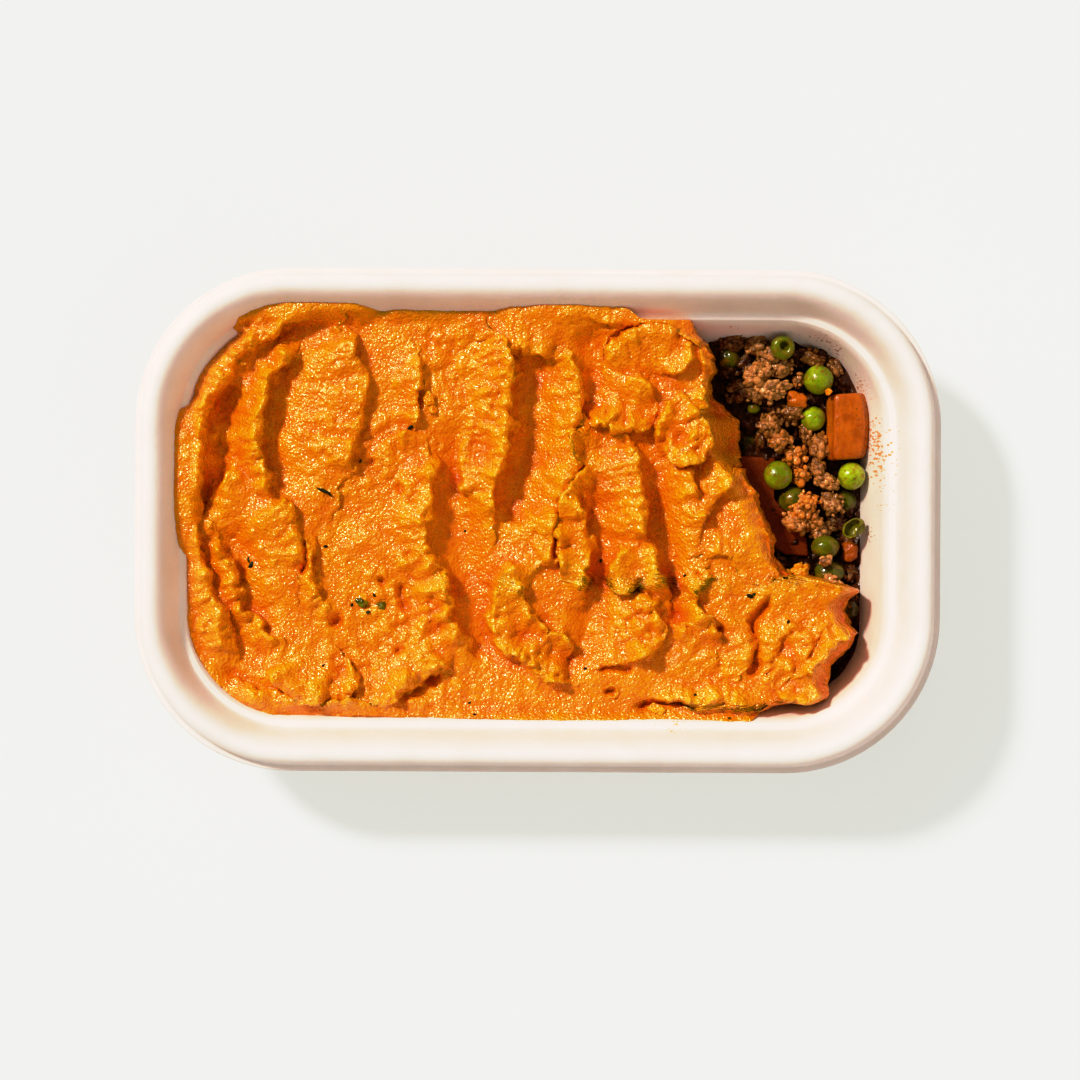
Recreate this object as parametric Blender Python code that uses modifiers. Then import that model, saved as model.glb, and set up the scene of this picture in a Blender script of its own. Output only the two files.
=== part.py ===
"""Shepherd's pie in a moulded fibre tray.

The tray is a rounded rectangle with a rolled rim, a small ledge under it and a foot ring.
Mince in gravy runs through the whole tray. Spoon-swept sweet potato mash covers it but for
the right end, where peas and pieces of carrot lie in the mince. Metres, +Z up, the origin
at the middle of the foot ring's underside, +X along the tray towards its bare end.
"""
import math

import bmesh
import bpy
import numpy as np

MM = 0.001
NAME = "shepherds_pie"

# Tray: outer size, wall thickness, runs in each corner arc.
LENGTH = 220 * MM
WIDTH = 137.5 * MM
SHEET = 1.0 * MM
CORNER_STEPS = 8
# The food side of the tray as (distance in from the outer edge, height), in millimetres.
RIM = [(0, 36.6), (1.6, 37.0), (2.0, 39.6), (3.1, 41.4), (4.6, 42.0), (6.2, 41.6), (7.8, 40.1),
       (9.3, 37.6), (11.4, 32.9), (12.4, 32.1), (13.5, 31.6)]
WALL = [(21.2, 9.0), (22.6, 5.6), (25.2, 2.8), (28.6, 1.5), (32.0, 1.0)]
FOOT = [(36.0, 1.0), (38.0, 2.0)]
CREST_INSET = 4.6
# Corner radius for a distance in from the outer edge: the walls stand steeper in the corners.
CORNER_RADII = [(0, 42.5), (13.5, 29.5), (21.2, 18.0), (38, 11.0)]

# Gaps between pieces that touch, and the level where mash meets mince.
GAP = 0.3 * MM
MINCE_LEVEL = 15.0 * MM
FLOOR_CLEAR = 2.4 * MM

# Mash: mean level, slope towards the back wall, facet size.
MASH_LEVEL = 30.3
MASH_TILT = 0.022
MASH_FACET = 4.0 * MM
MASH_CEILING = 37.3
BLEND_POWER = 4.0

# Spoon ridges in the mash: rise, width of the swept side, width of the torn side, route.
# The torn side is on the left of the route. All in millimetres.
RIDGES = [
    (5.5, 6.0, 3.0, [(-66, 58), (-80, 48.5), (-89, 37), (-94, 27), (-94.8, 12), (-95.5, 0)]),
    (4.5, 4.0, 3.0, [(-96, 0), (-93.5, -14), (-89.5, -25), (-87, -37)]),
    (6.5, 5.0, 2.5, [(-67, 48), (-75, 38), (-78, 28), (-78, 17), (-74, 5)]),
    (5.0, 8.0, 2.0, [(-90, 3), (-82, 13.5)]),
    (5.5, 17.0, 2.5, [(-53, 50), (-49.5, 34), (-54, 13)]),
    (3.5, 6.0, 2.0, [(-35, 45), (-34, 40), (-36, 26)]),
    (6.0, 9.0, 2.5, [(-13, 51), (-9.5, 39), (-9.6, 25), (-13.5, 6), (-13, 0)]),
    (4.5, 6.0, 2.5, [(-14.5, 3), (-20, 14), (-17.5, 23)]),
    (6.0, 11.0, 2.5, [(5, 45.5), (-12, 48)]),
    (5.0, 10.0, 3.0, [(6, 47), (9.3, 34), (8.5, 18), (4, 5)]),
    (6.0, 5.0, 2.5, [(11, -20), (6.5, -2), (9.8, 8), (15.5, 13.5)]),
    (5.5, 6.0, 2.5, [(10, -41), (-2, -37), (-10, -29), (-9.5, -19), (-4, -11)]),
    (5.0, 6.0, 2.5, [(-5, -16), (-4, -25.5), (2, -31.5), (8, -35)]),
    (5.0, 5.0, 3.0, [(47, 36), (46.5, 48.5), (34, 56.5), (16, 56)]),
    (5.5, 12.0, 2.5, [(19, 43), (26, 51), (40, 51)]),
    (6.0, 7.0, 2.5, [(29, 31), (22.5, 25.5), (13, 28)]),
    (6.5, 8.0, 2.5, [(40, 31.5), (45.5, 25), (41, 17.5), (34, 22.5)]),
    (5.5, 7.0, 2.5, [(52.5, 15), (46, 7), (43, -3)]),
    (6.0, 11.0, 2.5, [(24, 21), (27.5, 4), (27, -5)]),
    (6.5, 8.0, 2.0, [(28.5, -5.5), (32, -14), (34.5, -20)]),
    (5.5, 12.0, 2.5, [(30, -20), (33, -28.5), (24, -37.5)]),
    (5.5, 7.0, 2.5, [(45, -15), (42.5, -20), (48.5, -34)]),
    (4.5, 12.0, 2.0, [(69, -17), (87, -20)]),
    (5.5, 6.0, 4.0, [(86, -29), (76, -37), (73, -45)]),
    (5.5, 8.0, 2.5, [(-30.5, 16), (-33, 0), (-27, -17), (-20, -35)]),
    (5.0, 8.0, 2.5, [(-25, -38), (-42, -49)]),
    (5.0, 10.0, 2.5, [(-56, -50), (-70, -45), (-72.5, -39)]),
    (5.0, 5.0, 2.5, [(-89.5, -8), (-85, -20), (-71, -35.5)]),
    (5.0, 13.0, 2.5, [(-73, 6), (-64, -14), (-60, -25)]),
    (6.5, 4.0, 4.0, [(-78, 57), (-45, 59.5)]),
]
# Hollows that the spoon left: depth, width, route, in millimetres.
HOLLOWS = [
    (5.5, 5.0, [(-86, 33), (-88, 16), (-91, 5)]),
    (5.5, 4.5, [(-4, 44), (-6.5, 28), (-9.5, 6)]),
    (4.5, 7.5, [(-25, 20), (-26, -5), (-19, -32)]),
    (4.0, 4.5, [(12, 55), (12.5, 38), (11, 20)]),
    (4.5, 5.5, [(17, -2), (14.5, -22), (11, -36)]),
    (4.5, 4.0, [(30, 26), (31, 0), (36, -26)]),
    (4.5, 3.5, [(63, -23), (59.5, -38)]),
    (4.5, 6.5, [(-84, -4), (-81, -18), (-78, -27)]),
    (4.5, 3.5, [(-84, -43), (-60, -50)]),
    (4.0, 3.5, [(19, 44), (24, 52), (33, 53.6)]),
]
# The mash's free edge over the mince, from the back wall round to the front wall.
MASH_EDGE = [(36, 64), (43, 53), (48.6, 46), (49, 41), (47.3, 34), (52, 32), (55.5, 27),
             (54.4, 17), (57, 9), (60.5, 0), (62.8, -7), (67.5, -13), (70, -12.3), (74.5, -12.6),
             (77, -17), (87.5, -19.5), (84, -23), (86.5, -29), (88, -32), (81.5, -39), (78.5, -46),
             (75, -49), (61, -50.5), (60, -60)]

# Mince lumps where the mash doesn't cover it: x, y, radius, top, in millimetres.
MINCE_LUMPS = [
    (54.5, 49.0, 4.0, 21.5), (62.0, 46.5, 4.6, 22.0), (67.0, 42.5, 3.2, 20.0),
    (63.0, 38.5, 6.6, 23.5), (55.0, 38.0, 4.4, 18.5), (73.0, 45.5, 3.6, 19.5),
    (83.5, 41.0, 3.2, 18.0), (66.5, 27.5, 5.6, 22.5), (71.8, 20.0, 4.0, 21.0),
    (78.3, 20.5, 3.2, 20.5), (74.5, 13.5, 3.8, 20.5), (80.5, 10.5, 3.4, 20.0),
    (74.5, -0.5, 4.6, 22.5), (82.0, 2.0, 3.2, 19.0), (68.5, -12.0, 4.0, 13.5),
]
GRAVY_LEVEL = 12.5
GRAVY_TILT = 0.07
GRAVY_CLEAR = 1.5
MINCE_FACET = 3.2 * MM
MINCE_COARSE = 24 * MM
MINCE_BARE_START = 45 * MM

# Peas: x, y, z and the three radii, in millimetres.
PEAS = [
    (78.0, 39.6, 19.5, 4.1, 4.1, 3.9), (76.8, 28.8, 17.5, 3.5, 3.45, 3.3),
    (66.9, 13.0, 19.3, 3.95, 4.1, 3.8), (87.4, 12.8, 19.2, 3.95, 3.85, 3.7),
    (53.2, 45.6, 16.6, 3.2, 3.2, 3.0), (58.9, 22.0, 11.8, 3.0, 3.0, 2.8),
    (71.3, 6.2, 17.0, 3.9, 3.8, 3.6), (86.0, 6.0, 13.4, 3.4, 3.3, 3.2),
    (80.3, -6.9, 17.5, 4.0, 3.3, 3.4), (81.6, -14.0, 15.6, 4.3, 3.4, 3.5),
    (87.2, -24.3, 17.2, 2.6, 2.5, 2.4), (60.3, 31.8, 15.8, 1.9, 1.6, 1.6),
]
PEAS_IN_MASH = [(-48.1, -22.6, 30.6, 2.2, 2.3, 2.2), (-43.1, -23.6, 30.6, 2.2, 2.3, 2.2)]
HOLLOW_PEA = (67.7, 48.3, 24.0, 3.4)
PEA_SKIN = (88.3, -1.8, 21.4, 3.3)
SKIN_SHEET = 0.45 * MM
PEA_AROUND = 10
PEA_UPRIGHT = 6

# Carrots: the long one by the right wall, the slab under the mash, two small dice.
STICK = {"place": (85.6, 26.6, 18.5), "half_width": 4.75, "half_height": 3.9, "length": 18.0}
SLAB_OUTLINE = [(55, 18.6), (66.5, 17.9), (66.2, 6.5), (75.6, -4.6), (76.0, -9.6),
                (69.5, -9.2), (63.5, -5.2), (58, 5)]
SLAB_BOTTOM = 8.0 * MM
SLAB_TOP = 14.8 * MM
DICE = {"carrot_dice_1": (87.3, -8.0, 15.0, 4.0, 5.2, 3.6, 8.0),
        "carrot_dice_2": (72.1, 34.2, 19.4, 5.0, 4.2, 3.8, -12.0)}

COLOURS = {
    "fibre": ((0.87, 0.80, 0.75), 0.85), "mash": ((0.78, 0.25, 0.02), 0.4),
    "mince": ((0.20, 0.08, 0.03), 0.4), "pea": ((0.34, 0.36, 0.03), 0.3),
    "carrot": ((0.60, 0.16, 0.02), 0.35),
}


def clear_scene():
    """Remove every object of the scene that the file opens with."""
    for item in list(bpy.data.objects):
        bpy.data.objects.remove(item, do_unlink=True)


def make_collection(name):
    """Add a collection to the scene."""
    collection = bpy.data.collections.new(name)
    bpy.context.scene.collection.children.link(collection)
    return collection


def make_material(name):
    """A Principled material with the part's colour and roughness."""
    colour, roughness = COLOURS[name]
    material = bpy.data.materials.new(name)
    material.use_nodes = True
    shader = material.node_tree.nodes["Principled BSDF"]
    shader.inputs["Base Color"].default_value = (*colour, 1.0)
    shader.inputs["Roughness"].default_value = roughness
    shader.inputs["Metallic"].default_value = 0.0
    return material


def add_object(name, mesh, collection, material=None):
    """Link a mesh as a named object, with its material if it is a visible piece."""
    item = bpy.data.objects.new(name, mesh)
    collection.objects.link(item)
    if material is None:
        item.hide_render = True
        item.display_type = "WIRE"
    else:
        mesh.materials.append(material)
    return item


def mesh_from_faces(name, points, faces):
    """A mesh of triangles from points and faces, with its faces turned outwards."""
    mesh = bpy.data.meshes.new(name)
    mesh.from_pydata([tuple(point) for point in points], [], faces)
    work = bmesh.new()
    work.from_mesh(mesh)
    bmesh.ops.triangulate(work, faces=work.faces[:])
    bmesh.ops.recalc_face_normals(work, faces=work.faces[:])
    work.to_mesh(mesh)
    work.free()
    return mesh


def rounded_loop(inset, height):
    """A rounded rectangle, inset from the tray's outer edge: four arcs, joined by straights."""
    insets, radii = zip(*CORNER_RADII)
    radius = float(np.interp(inset / MM, insets, radii)) * MM
    loop = []
    for quarter in range(4):
        side_x = 1 if quarter in (0, 3) else -1
        side_y = 1 if quarter in (0, 1) else -1
        middle_x = side_x * (LENGTH / 2 - inset - radius)
        middle_y = side_y * (WIDTH / 2 - inset - radius)
        for step in range(CORNER_STEPS + 1):
            angle = math.pi / 2 * (quarter + step / CORNER_STEPS)
            loop.append((middle_x + radius * math.cos(angle),
                         middle_y + radius * math.sin(angle), height))
    return loop


def loft(profile, close_top):
    """Faces through a rounded loop for each profile point, closed at the last one."""
    loops = [rounded_loop(inset * MM, height * MM) for inset, height in profile]
    count = len(loops[0])
    points = [point for loop in loops for point in loop]
    faces = []
    for row in range(len(loops) - 1):
        for step in range(count):
            after = (step + 1) % count
            faces.append((row * count + step, row * count + after,
                          (row + 1) * count + after, (row + 1) * count + step))
    last = (len(loops) - 1) * count
    faces.append(tuple(range(last, last + count)))
    if close_top:
        faces.append(tuple(reversed(range(count))))
    return points, faces


def build_tray(collection, material):
    """The tray: an open lofted sheet, thickened away from the food."""
    points, faces = loft(RIM + WALL + FOOT, close_top=False)
    mesh = bpy.data.meshes.new("tray")
    mesh.from_pydata(points, [], faces)
    tray = add_object("tray", mesh, collection, material)
    sheet = tray.modifiers.new("sheet", "SOLIDIFY")
    sheet.thickness = SHEET
    sheet.offset = -1
    sheet.use_even_offset = True
    mesh.shade_smooth()
    return tray


def build_hollow(name, top, cutters):
    """The room inside the tray, a gap clear of its wall and floor, up to a given height."""
    walls = [row for row in RIM + WALL if row[0] > CREST_INSET]
    inner = []
    for index, (inset, height) in enumerate(walls):
        before = walls[max(index - 1, 0)]
        after = walls[min(index + 1, len(walls) - 1)]
        run = after[0] - before[0]
        drop = before[1] - after[1]
        size = math.hypot(run, drop)
        inner.append((inset + GAP / MM * drop / size, height + GAP / MM * run / size))
    lowest = FLOOR_CLEAR / MM
    heights = [height for inset, height in reversed(inner)]
    insets = [inset for inset, height in reversed(inner)]
    kept = [(inset, height) for inset, height in inner if lowest < height < top]
    kept.insert(0, (float(np.interp(top, heights, insets)), top))
    kept.append((float(np.interp(lowest, heights, insets)), lowest))
    points, faces = loft(kept, close_top=True)
    return add_object(name, mesh_from_faces(name, points, faces), cutters)


def near_route(x, y, route):
    """Distance from a route of straight runs, positive on its left, and the part travelled."""
    points = np.array(route, dtype=float)
    runs = np.diff(points, axis=0)
    lengths = np.hypot(runs[:, 0], runs[:, 1])
    before = np.concatenate([[0.0], np.cumsum(lengths)])
    best = np.full(x.shape, np.inf)
    side = np.ones(x.shape)
    travelled = np.zeros(x.shape)
    for index, (run, length) in enumerate(zip(runs, lengths)):
        from_x = x - points[index, 0]
        from_y = y - points[index, 1]
        part = np.clip((from_x * run[0] + from_y * run[1]) / length ** 2, 0, 1)
        away = np.hypot(from_x - part * run[0], from_y - part * run[1])
        closer = away < best
        turn = np.sign(run[0] * from_y - run[1] * from_x)
        best = np.where(closer, away, best)
        side = np.where(closer, turn, side)
        travelled = np.where(closer, (before[index] + part * length) / before[-1], travelled)
    return best * side, travelled


def ease(value):
    """A smooth step from 0 to 1."""
    value = np.clip(value, 0, 1)
    return value * value * (3 - 2 * value)


def mash_height(x, y):
    """Level plus the highest ridge nearby less the deepest hollow, softly blended."""
    ridge = np.zeros(x.shape)
    for rise, swept, torn, route in RIDGES:
        away, travelled = near_route(x, y, route)
        reach = np.where(away > 0, torn, swept)
        ends = 0.55 + 0.45 * ease(np.minimum(travelled, 1 - travelled) / 0.2)
        ridge += (rise * ends * ease(1 - np.abs(away) / reach)) ** BLEND_POWER
    hollow = np.zeros(x.shape)
    for depth, reach, route in HOLLOWS:
        away, travelled = near_route(x, y, route)
        hollow += (depth * ease(1 - np.abs(away) / reach)) ** BLEND_POWER
    ridge = ridge ** (1 / BLEND_POWER)
    hollow = hollow ** (1 / BLEND_POWER)
    height = MASH_LEVEL + MASH_TILT * y + ridge - hollow
    return np.minimum(height, MASH_CEILING)


def inside_edge(x, y):
    """Distance in from the mash's free edge: positive under the mash, negative on bare mince."""
    away, travelled = near_route(x, y, MASH_EDGE)
    return -away


def mince_height(x, y):
    """Flat under the mash; beyond its edge the gravy's slope with a dome for each lump."""
    gravy = GRAVY_LEVEL + GRAVY_TILT * np.clip(y, 0, None)
    lumps = gravy.copy()
    for middle_x, middle_y, radius, top in MINCE_LUMPS:
        away = np.hypot(x - middle_x, y - middle_y) / radius
        dome = gravy + (top - gravy) * np.sqrt(np.clip(1 - away ** 2, 0, 1))
        lumps = np.maximum(lumps, np.where(away < 1, dome, gravy))
    bare = ease((-inside_edge(x, y) - GRAVY_CLEAR) / GRAVY_CLEAR)
    level = MINCE_LEVEL / MM
    return level + bare * (lumps - level)


def build_block(name, lines_x, lines_y, height, bottom, collection, material):
    """A closed block on a grid of lines, its top at height(x, y) and its underside flat."""
    grid_x, grid_y = np.meshgrid(lines_x, lines_y, indexing="ij")
    top = height(grid_x / MM, grid_y / MM) * MM
    upper = np.stack([grid_x, grid_y, top], axis=-1).reshape(-1, 3)
    count_x, count_y = grid_x.shape
    faces = []
    for i in range(count_x - 1):
        for j in range(count_y - 1):
            first = i * count_y + j
            faces.append((first, first + count_y, first + count_y + 1, first + 1))
    rim = [j for j in range(count_y)]
    rim += [i * count_y + count_y - 1 for i in range(1, count_x)]
    rim += [(count_x - 1) * count_y + j for j in range(count_y - 2, -1, -1)]
    rim += [i * count_y for i in range(count_x - 2, 0, -1)]
    lower = upper[rim].copy()
    lower[:, 2] = bottom
    start = len(upper)
    for index, corner in enumerate(rim):
        after = (index + 1) % len(rim)
        faces.append((corner, rim[after], start + after, start + index))
    faces.append(tuple(start + index for index in range(len(rim))))
    mesh = mesh_from_faces(name, np.concatenate([upper, lower]), faces)
    return add_object(name, mesh, collection, material)


def build_prism(name, outline, bottom, top, collection, material=None):
    """A flat outline carried straight up."""
    mesh = bpy.data.meshes.new(name)
    work = bmesh.new()
    corners = [work.verts.new((x * MM, y * MM, bottom)) for x, y in outline]
    face = work.faces.new(corners)
    raised = bmesh.ops.extrude_face_region(work, geom=[face])
    moved = [item for item in raised["geom"] if isinstance(item, bmesh.types.BMVert)]
    bmesh.ops.translate(work, verts=moved, vec=(0, 0, top - bottom))
    bmesh.ops.recalc_face_normals(work, faces=work.faces[:])
    work.to_mesh(mesh)
    work.free()
    return add_object(name, mesh, collection, material)


def cut(item, tool, operation="DIFFERENCE"):
    """Cut or clip an object with a tool."""
    boolean = item.modifiers.new(tool.name, "BOOLEAN")
    boolean.operation = operation
    boolean.object = tool
    boolean.solver = "EXACT"


def ball(name, place, radii, collection, material=None):
    """An ellipsoid from a sphere, its poles up and down."""
    mesh = bpy.data.meshes.new(name)
    work = bmesh.new()
    bmesh.ops.create_uvsphere(work, u_segments=PEA_AROUND, v_segments=PEA_UPRIGHT, radius=1.0)
    bmesh.ops.scale(work, verts=work.verts[:], vec=[radius * MM for radius in radii])
    work.to_mesh(mesh)
    work.free()
    mesh.shade_smooth()
    item = add_object(name, mesh, collection, material)
    item.location = [value * MM for value in place]
    return item


def build_pea(name, row, collection, cutters, material):
    """A pea and the slightly larger cutter that makes room for it."""
    pea = ball(name, row[:3], row[3:], collection, material)
    room = [radius + GAP / MM for radius in row[3:]]
    return pea, ball(name + "_room", row[:3], room, cutters)


def turned_shell(name, radius, squash, rows, start, collection, material):
    """Part of a squashed sphere as an open sheet, turned round its upright axis."""
    points = []
    for row in range(rows + 1):
        angle = start + (math.pi - start) * row / rows
        points.append((radius * math.sin(angle) * MM, 0, radius * squash * math.cos(angle) * MM))
    points[-1] = (0, 0, points[-1][2])
    mesh = bpy.data.meshes.new(name)
    mesh.from_pydata(points, [(row, row + 1) for row in range(rows)], [])
    shell = add_object(name, mesh, collection, material)
    turn = shell.modifiers.new("turn", "SCREW")
    turn.steps = PEA_AROUND
    turn.render_steps = PEA_AROUND
    turn.use_merge_vertices = True
    turn.merge_threshold = 0.00005
    sheet = shell.modifiers.new("sheet", "SOLIDIFY")
    sheet.thickness = SKIN_SHEET
    sheet.offset = -1
    return shell


def build_stick(collection, cutters, material):
    """The long piece of carrot: a round-sided bar along Y with cut ends."""
    pieces = []
    for name, grow, home in (("carrot_stick", 0, collection), ("carrot_room", GAP / MM, cutters)):
        mesh = bpy.data.meshes.new(name)
        work = bmesh.new()
        bmesh.ops.create_cone(work, cap_ends=True, segments=16, radius1=1, radius2=1, depth=1)
        size = (STICK["half_width"] + grow, STICK["half_height"] + grow,
                STICK["length"] + 2 * grow)
        bmesh.ops.scale(work, verts=work.verts[:], vec=[value * MM for value in size])
        work.to_mesh(mesh)
        work.free()
        item = add_object(name, mesh, home, material if grow == 0 else None)
        item.rotation_euler = (math.pi / 2, 0, 0)
        item.location = [value * MM for value in STICK["place"]]
        pieces.append(item)
    return pieces


def build_dice(name, row, collection, cutters, material):
    """A small block of carrot, turned in plan, with rounded edges."""
    pieces = []
    for label, grow, home in ((name, 0, collection), (name + "_room", GAP / MM, cutters)):
        mesh = bpy.data.meshes.new(label)
        work = bmesh.new()
        bmesh.ops.create_cube(work, size=1.0)
        size = [(value + 2 * grow) * MM for value in row[3:6]]
        bmesh.ops.scale(work, verts=work.verts[:], vec=size)
        work.to_mesh(mesh)
        work.free()
        item = add_object(label, mesh, home, material if grow == 0 else None)
        item.rotation_euler = (0, 0, math.radians(row[6]))
        item.location = [value * MM for value in row[:3]]
        if grow == 0:
            edge = item.modifiers.new("edge", "BEVEL")
            edge.width = 0.6 * MM
            edge.segments = 2
        pieces.append(item)
    return pieces


def grown_outline(outline, amount):
    """An outline moved outwards by an amount, corner by corner."""
    points = np.array(outline, dtype=float)
    before = np.roll(points, 1, axis=0)
    after = np.roll(points, -1, axis=0)
    first = points - before
    second = after - points
    first /= np.linalg.norm(first, axis=1)[:, None]
    second /= np.linalg.norm(second, axis=1)[:, None]
    normal_a = np.stack([first[:, 1], -first[:, 0]], axis=1)
    normal_b = np.stack([second[:, 1], -second[:, 0]], axis=1)
    turning = np.sum(first[:, 0] * second[:, 1] - first[:, 1] * second[:, 0])
    direction = 1 if turning > 0 else -1
    bisector = normal_a + normal_b
    share = np.sum(bisector * normal_a, axis=1)[:, None]
    return points + direction * amount * bisector / share


def build_filling(collection, cutters, material, rooms):
    """Mince and gravy: the tray's hollow up to its level, cut round the peas and carrots."""
    coarse = np.arange(-LENGTH / 2, MINCE_BARE_START, MINCE_COARSE)
    fine = np.arange(MINCE_BARE_START, LENGTH / 2, MINCE_FACET)
    lines_x = np.concatenate([coarse, fine])
    lines_y = np.arange(-WIDTH / 2, WIDTH / 2, MINCE_FACET)
    filling = build_block("filling", lines_x, lines_y, mince_height, FLOOR_CLEAR / 2,
                          collection, material)
    cut(filling, build_hollow("filling_limit", 34.0, cutters), "INTERSECT")
    for room in rooms:
        cut(filling, room)
    return filling


def build_mash(collection, cutters, material, rooms):
    """The mash: swept top, flat underside on the mince, clipped by the tray and its free edge."""
    lines_x = np.arange(-LENGTH / 2, 92 * MM, MASH_FACET)
    lines_y = np.arange(-WIDTH / 2, WIDTH / 2 + MASH_FACET, MASH_FACET)
    mash = build_block("mash", lines_x, lines_y, mash_height, MINCE_LEVEL + GAP,
                       collection, material)
    cut(mash, build_hollow("mash_limit", 41.0, cutters), "INTERSECT")
    outline = MASH_EDGE + [(-115, -60), (-115, 64)]
    edge = build_prism("mash_edge", outline, 0.0, 50 * MM, cutters)
    cut(mash, edge, "INTERSECT")
    for room in rooms:
        cut(mash, room)
    return mash


def main():
    """Build every piece."""
    clear_scene()
    parts = make_collection(NAME)
    cutters = make_collection("cutters")
    finish = {name: make_material(name) for name in COLOURS}
    build_tray(parts, finish["fibre"])

    rooms = {}
    for number, row in enumerate(PEAS, start=1):
        name = f"pea_{number}"
        rooms[name] = build_pea(name, row, parts, cutters, finish["pea"])[1]
    x, y, z, radius = HOLLOW_PEA
    shell = turned_shell("pea_hollow", radius, 0.9, 5, 0.5, parts, finish["pea"])
    shell.location = (x * MM, y * MM, z * MM)
    room = [radius + GAP / MM] * 3
    rooms["pea_hollow"] = ball("pea_hollow_room", (x, y, z), room, cutters)
    x, y, z, radius = PEA_SKIN
    skin = turned_shell("pea_skin", radius, 0.6, 4, math.pi / 2, parts, finish["pea"])
    skin.location = (x * MM, y * MM, z * MM)
    skin.rotation_euler = (0, math.radians(-24), 0)
    rooms["pea_skin"] = ball("pea_skin_room", (x, y, z), room, cutters)

    rooms["carrot_stick"] = build_stick(parts, cutters, finish["carrot"])[1]
    for name, row in DICE.items():
        rooms[name] = build_dice(name, row, parts, cutters, finish["carrot"])[1]
    build_prism("carrot_slab", SLAB_OUTLINE, SLAB_BOTTOM, SLAB_TOP, parts, finish["carrot"])
    slab_room = grown_outline(SLAB_OUTLINE, GAP / MM)
    rooms["carrot_slab"] = build_prism("carrot_slab_room", slab_room, SLAB_BOTTOM - GAP,
                                       SLAB_TOP + GAP, cutters)
    build_filling(parts, cutters, finish["mince"], list(rooms.values()))

    mash_rooms = [rooms["pea_10"], rooms["pea_11"]]
    for number, row in enumerate(PEAS_IN_MASH, start=1):
        name = f"pea_in_mash_{number}"
        mash_rooms.append(build_pea(name, row, parts, cutters, finish["pea"])[1])
    build_mash(parts, cutters, finish["mash"], mash_rooms)


main()
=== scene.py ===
"""Looks for a shepherd's pie in a moulded fibre tray: sweet potato mash over mince, peas and carrot.

Everything is in the frame's metres; tables of shapes are in millimetres.
"""
import math

import bmesh
import bpy
import numpy as np
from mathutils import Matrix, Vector


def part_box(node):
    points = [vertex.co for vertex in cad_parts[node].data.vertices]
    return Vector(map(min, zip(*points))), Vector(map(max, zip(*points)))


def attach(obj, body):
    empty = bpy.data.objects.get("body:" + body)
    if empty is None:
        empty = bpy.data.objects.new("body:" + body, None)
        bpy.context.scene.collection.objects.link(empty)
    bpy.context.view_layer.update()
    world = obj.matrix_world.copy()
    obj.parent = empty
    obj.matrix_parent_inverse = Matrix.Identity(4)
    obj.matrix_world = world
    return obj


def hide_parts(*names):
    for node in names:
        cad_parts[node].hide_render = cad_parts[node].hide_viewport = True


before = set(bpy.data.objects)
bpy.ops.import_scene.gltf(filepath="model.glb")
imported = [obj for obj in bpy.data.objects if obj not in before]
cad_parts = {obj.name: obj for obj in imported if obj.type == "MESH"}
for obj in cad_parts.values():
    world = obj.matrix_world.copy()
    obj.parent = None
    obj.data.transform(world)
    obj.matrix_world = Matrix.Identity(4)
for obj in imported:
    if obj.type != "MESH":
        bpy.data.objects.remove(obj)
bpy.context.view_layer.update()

MM = 0.001
TRAY_LOW, TRAY_HIGH = (np.array(corner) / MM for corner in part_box("tray"))
HALF_LENGTH = (TRAY_HIGH[0] - TRAY_LOW[0]) / 2
HALF_WIDTH = (TRAY_HIGH[1] - TRAY_LOW[1]) / 2
MASH_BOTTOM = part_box("mash")[0][2] / MM

# Tray: food side as (distance in from the outer edge, height), and the corner radii.
RIM = [(0, 36.6), (1.6, 37.0), (2.0, 39.6), (3.1, 41.4), (4.6, 42.0), (6.2, 41.6), (7.8, 40.1),
       (9.3, 37.6), (11.4, 32.9), (12.4, 32.1), (13.5, 31.6)]
WALL = [(21.2, 9.0), (22.6, 5.6), (25.2, 2.8), (28.6, 1.5), (32.0, 1.0)]
FOOT = [(36.0, 1.0), (38.0, 2.0)]
CORNER_RADII = [(0, 42.5), (13.5, 29.5), (21.2, 18.0), (38, 11.0)]
SHEET = 1.0


# ---------------------------------------------------------------- numbers and noise

def ease(value):
    """A smooth step: 3 t squared less 2 t cubed, t held between 0 and 1."""
    value = np.clip(value, 0, 1)
    return value * value * (3 - 2 * value)


# The noise lattice stands askew, so that its grain runs along no side of the tray.
SKEW = np.array([[0.36, 0.48, -0.80], [-0.80, 0.60, 0.00], [0.48, 0.64, 0.60]])


def lattice(points, size, seed):
    """Smooth noise from -1 to 1: random numbers on a skewed cubic lattice, blended between."""
    table = np.random.default_rng(seed).uniform(-1, 1, (32, 32, 32))
    place = points @ SKEW / size + seed
    cell = np.floor(place).astype(int)
    part = ease(place - cell)
    total = np.zeros(points.shape[:-1])
    for corner in range(8):
        step = np.array([corner & 1, corner >> 1 & 1, corner >> 2 & 1])
        weight = np.prod(np.where(step == 1, part, 1 - part), axis=-1)
        index = (cell + step) % 32
        total += weight * table[index[..., 0], index[..., 1], index[..., 2]]
    return total


def roughness_field(points, size, octaves, seed):
    """Lattice noise summed over octaves, each half the size and about half the strength."""
    total = np.zeros(points.shape[:-1])
    for octave in range(octaves):
        total += 0.55 ** octave * lattice(points, size / 2 ** octave, seed + octave)
    return total


def blobs(points, size, seed):
    """Rounded lumps with creases between them, from -1 to 1: the size of lattice noise."""
    return 2.6 * np.abs(lattice(points, size, seed)) - 0.8


def flat_points(x, y, z=0.0):
    """Points with a last axis of x, y, z."""
    return np.stack([x, y, np.broadcast_to(z, np.shape(x))], axis=-1)


def along(table, value):
    """Straight-line reading of a table of (position, value) rows in rising order."""
    positions, values = zip(*sorted(table))
    return np.interp(value, positions, values)


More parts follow.
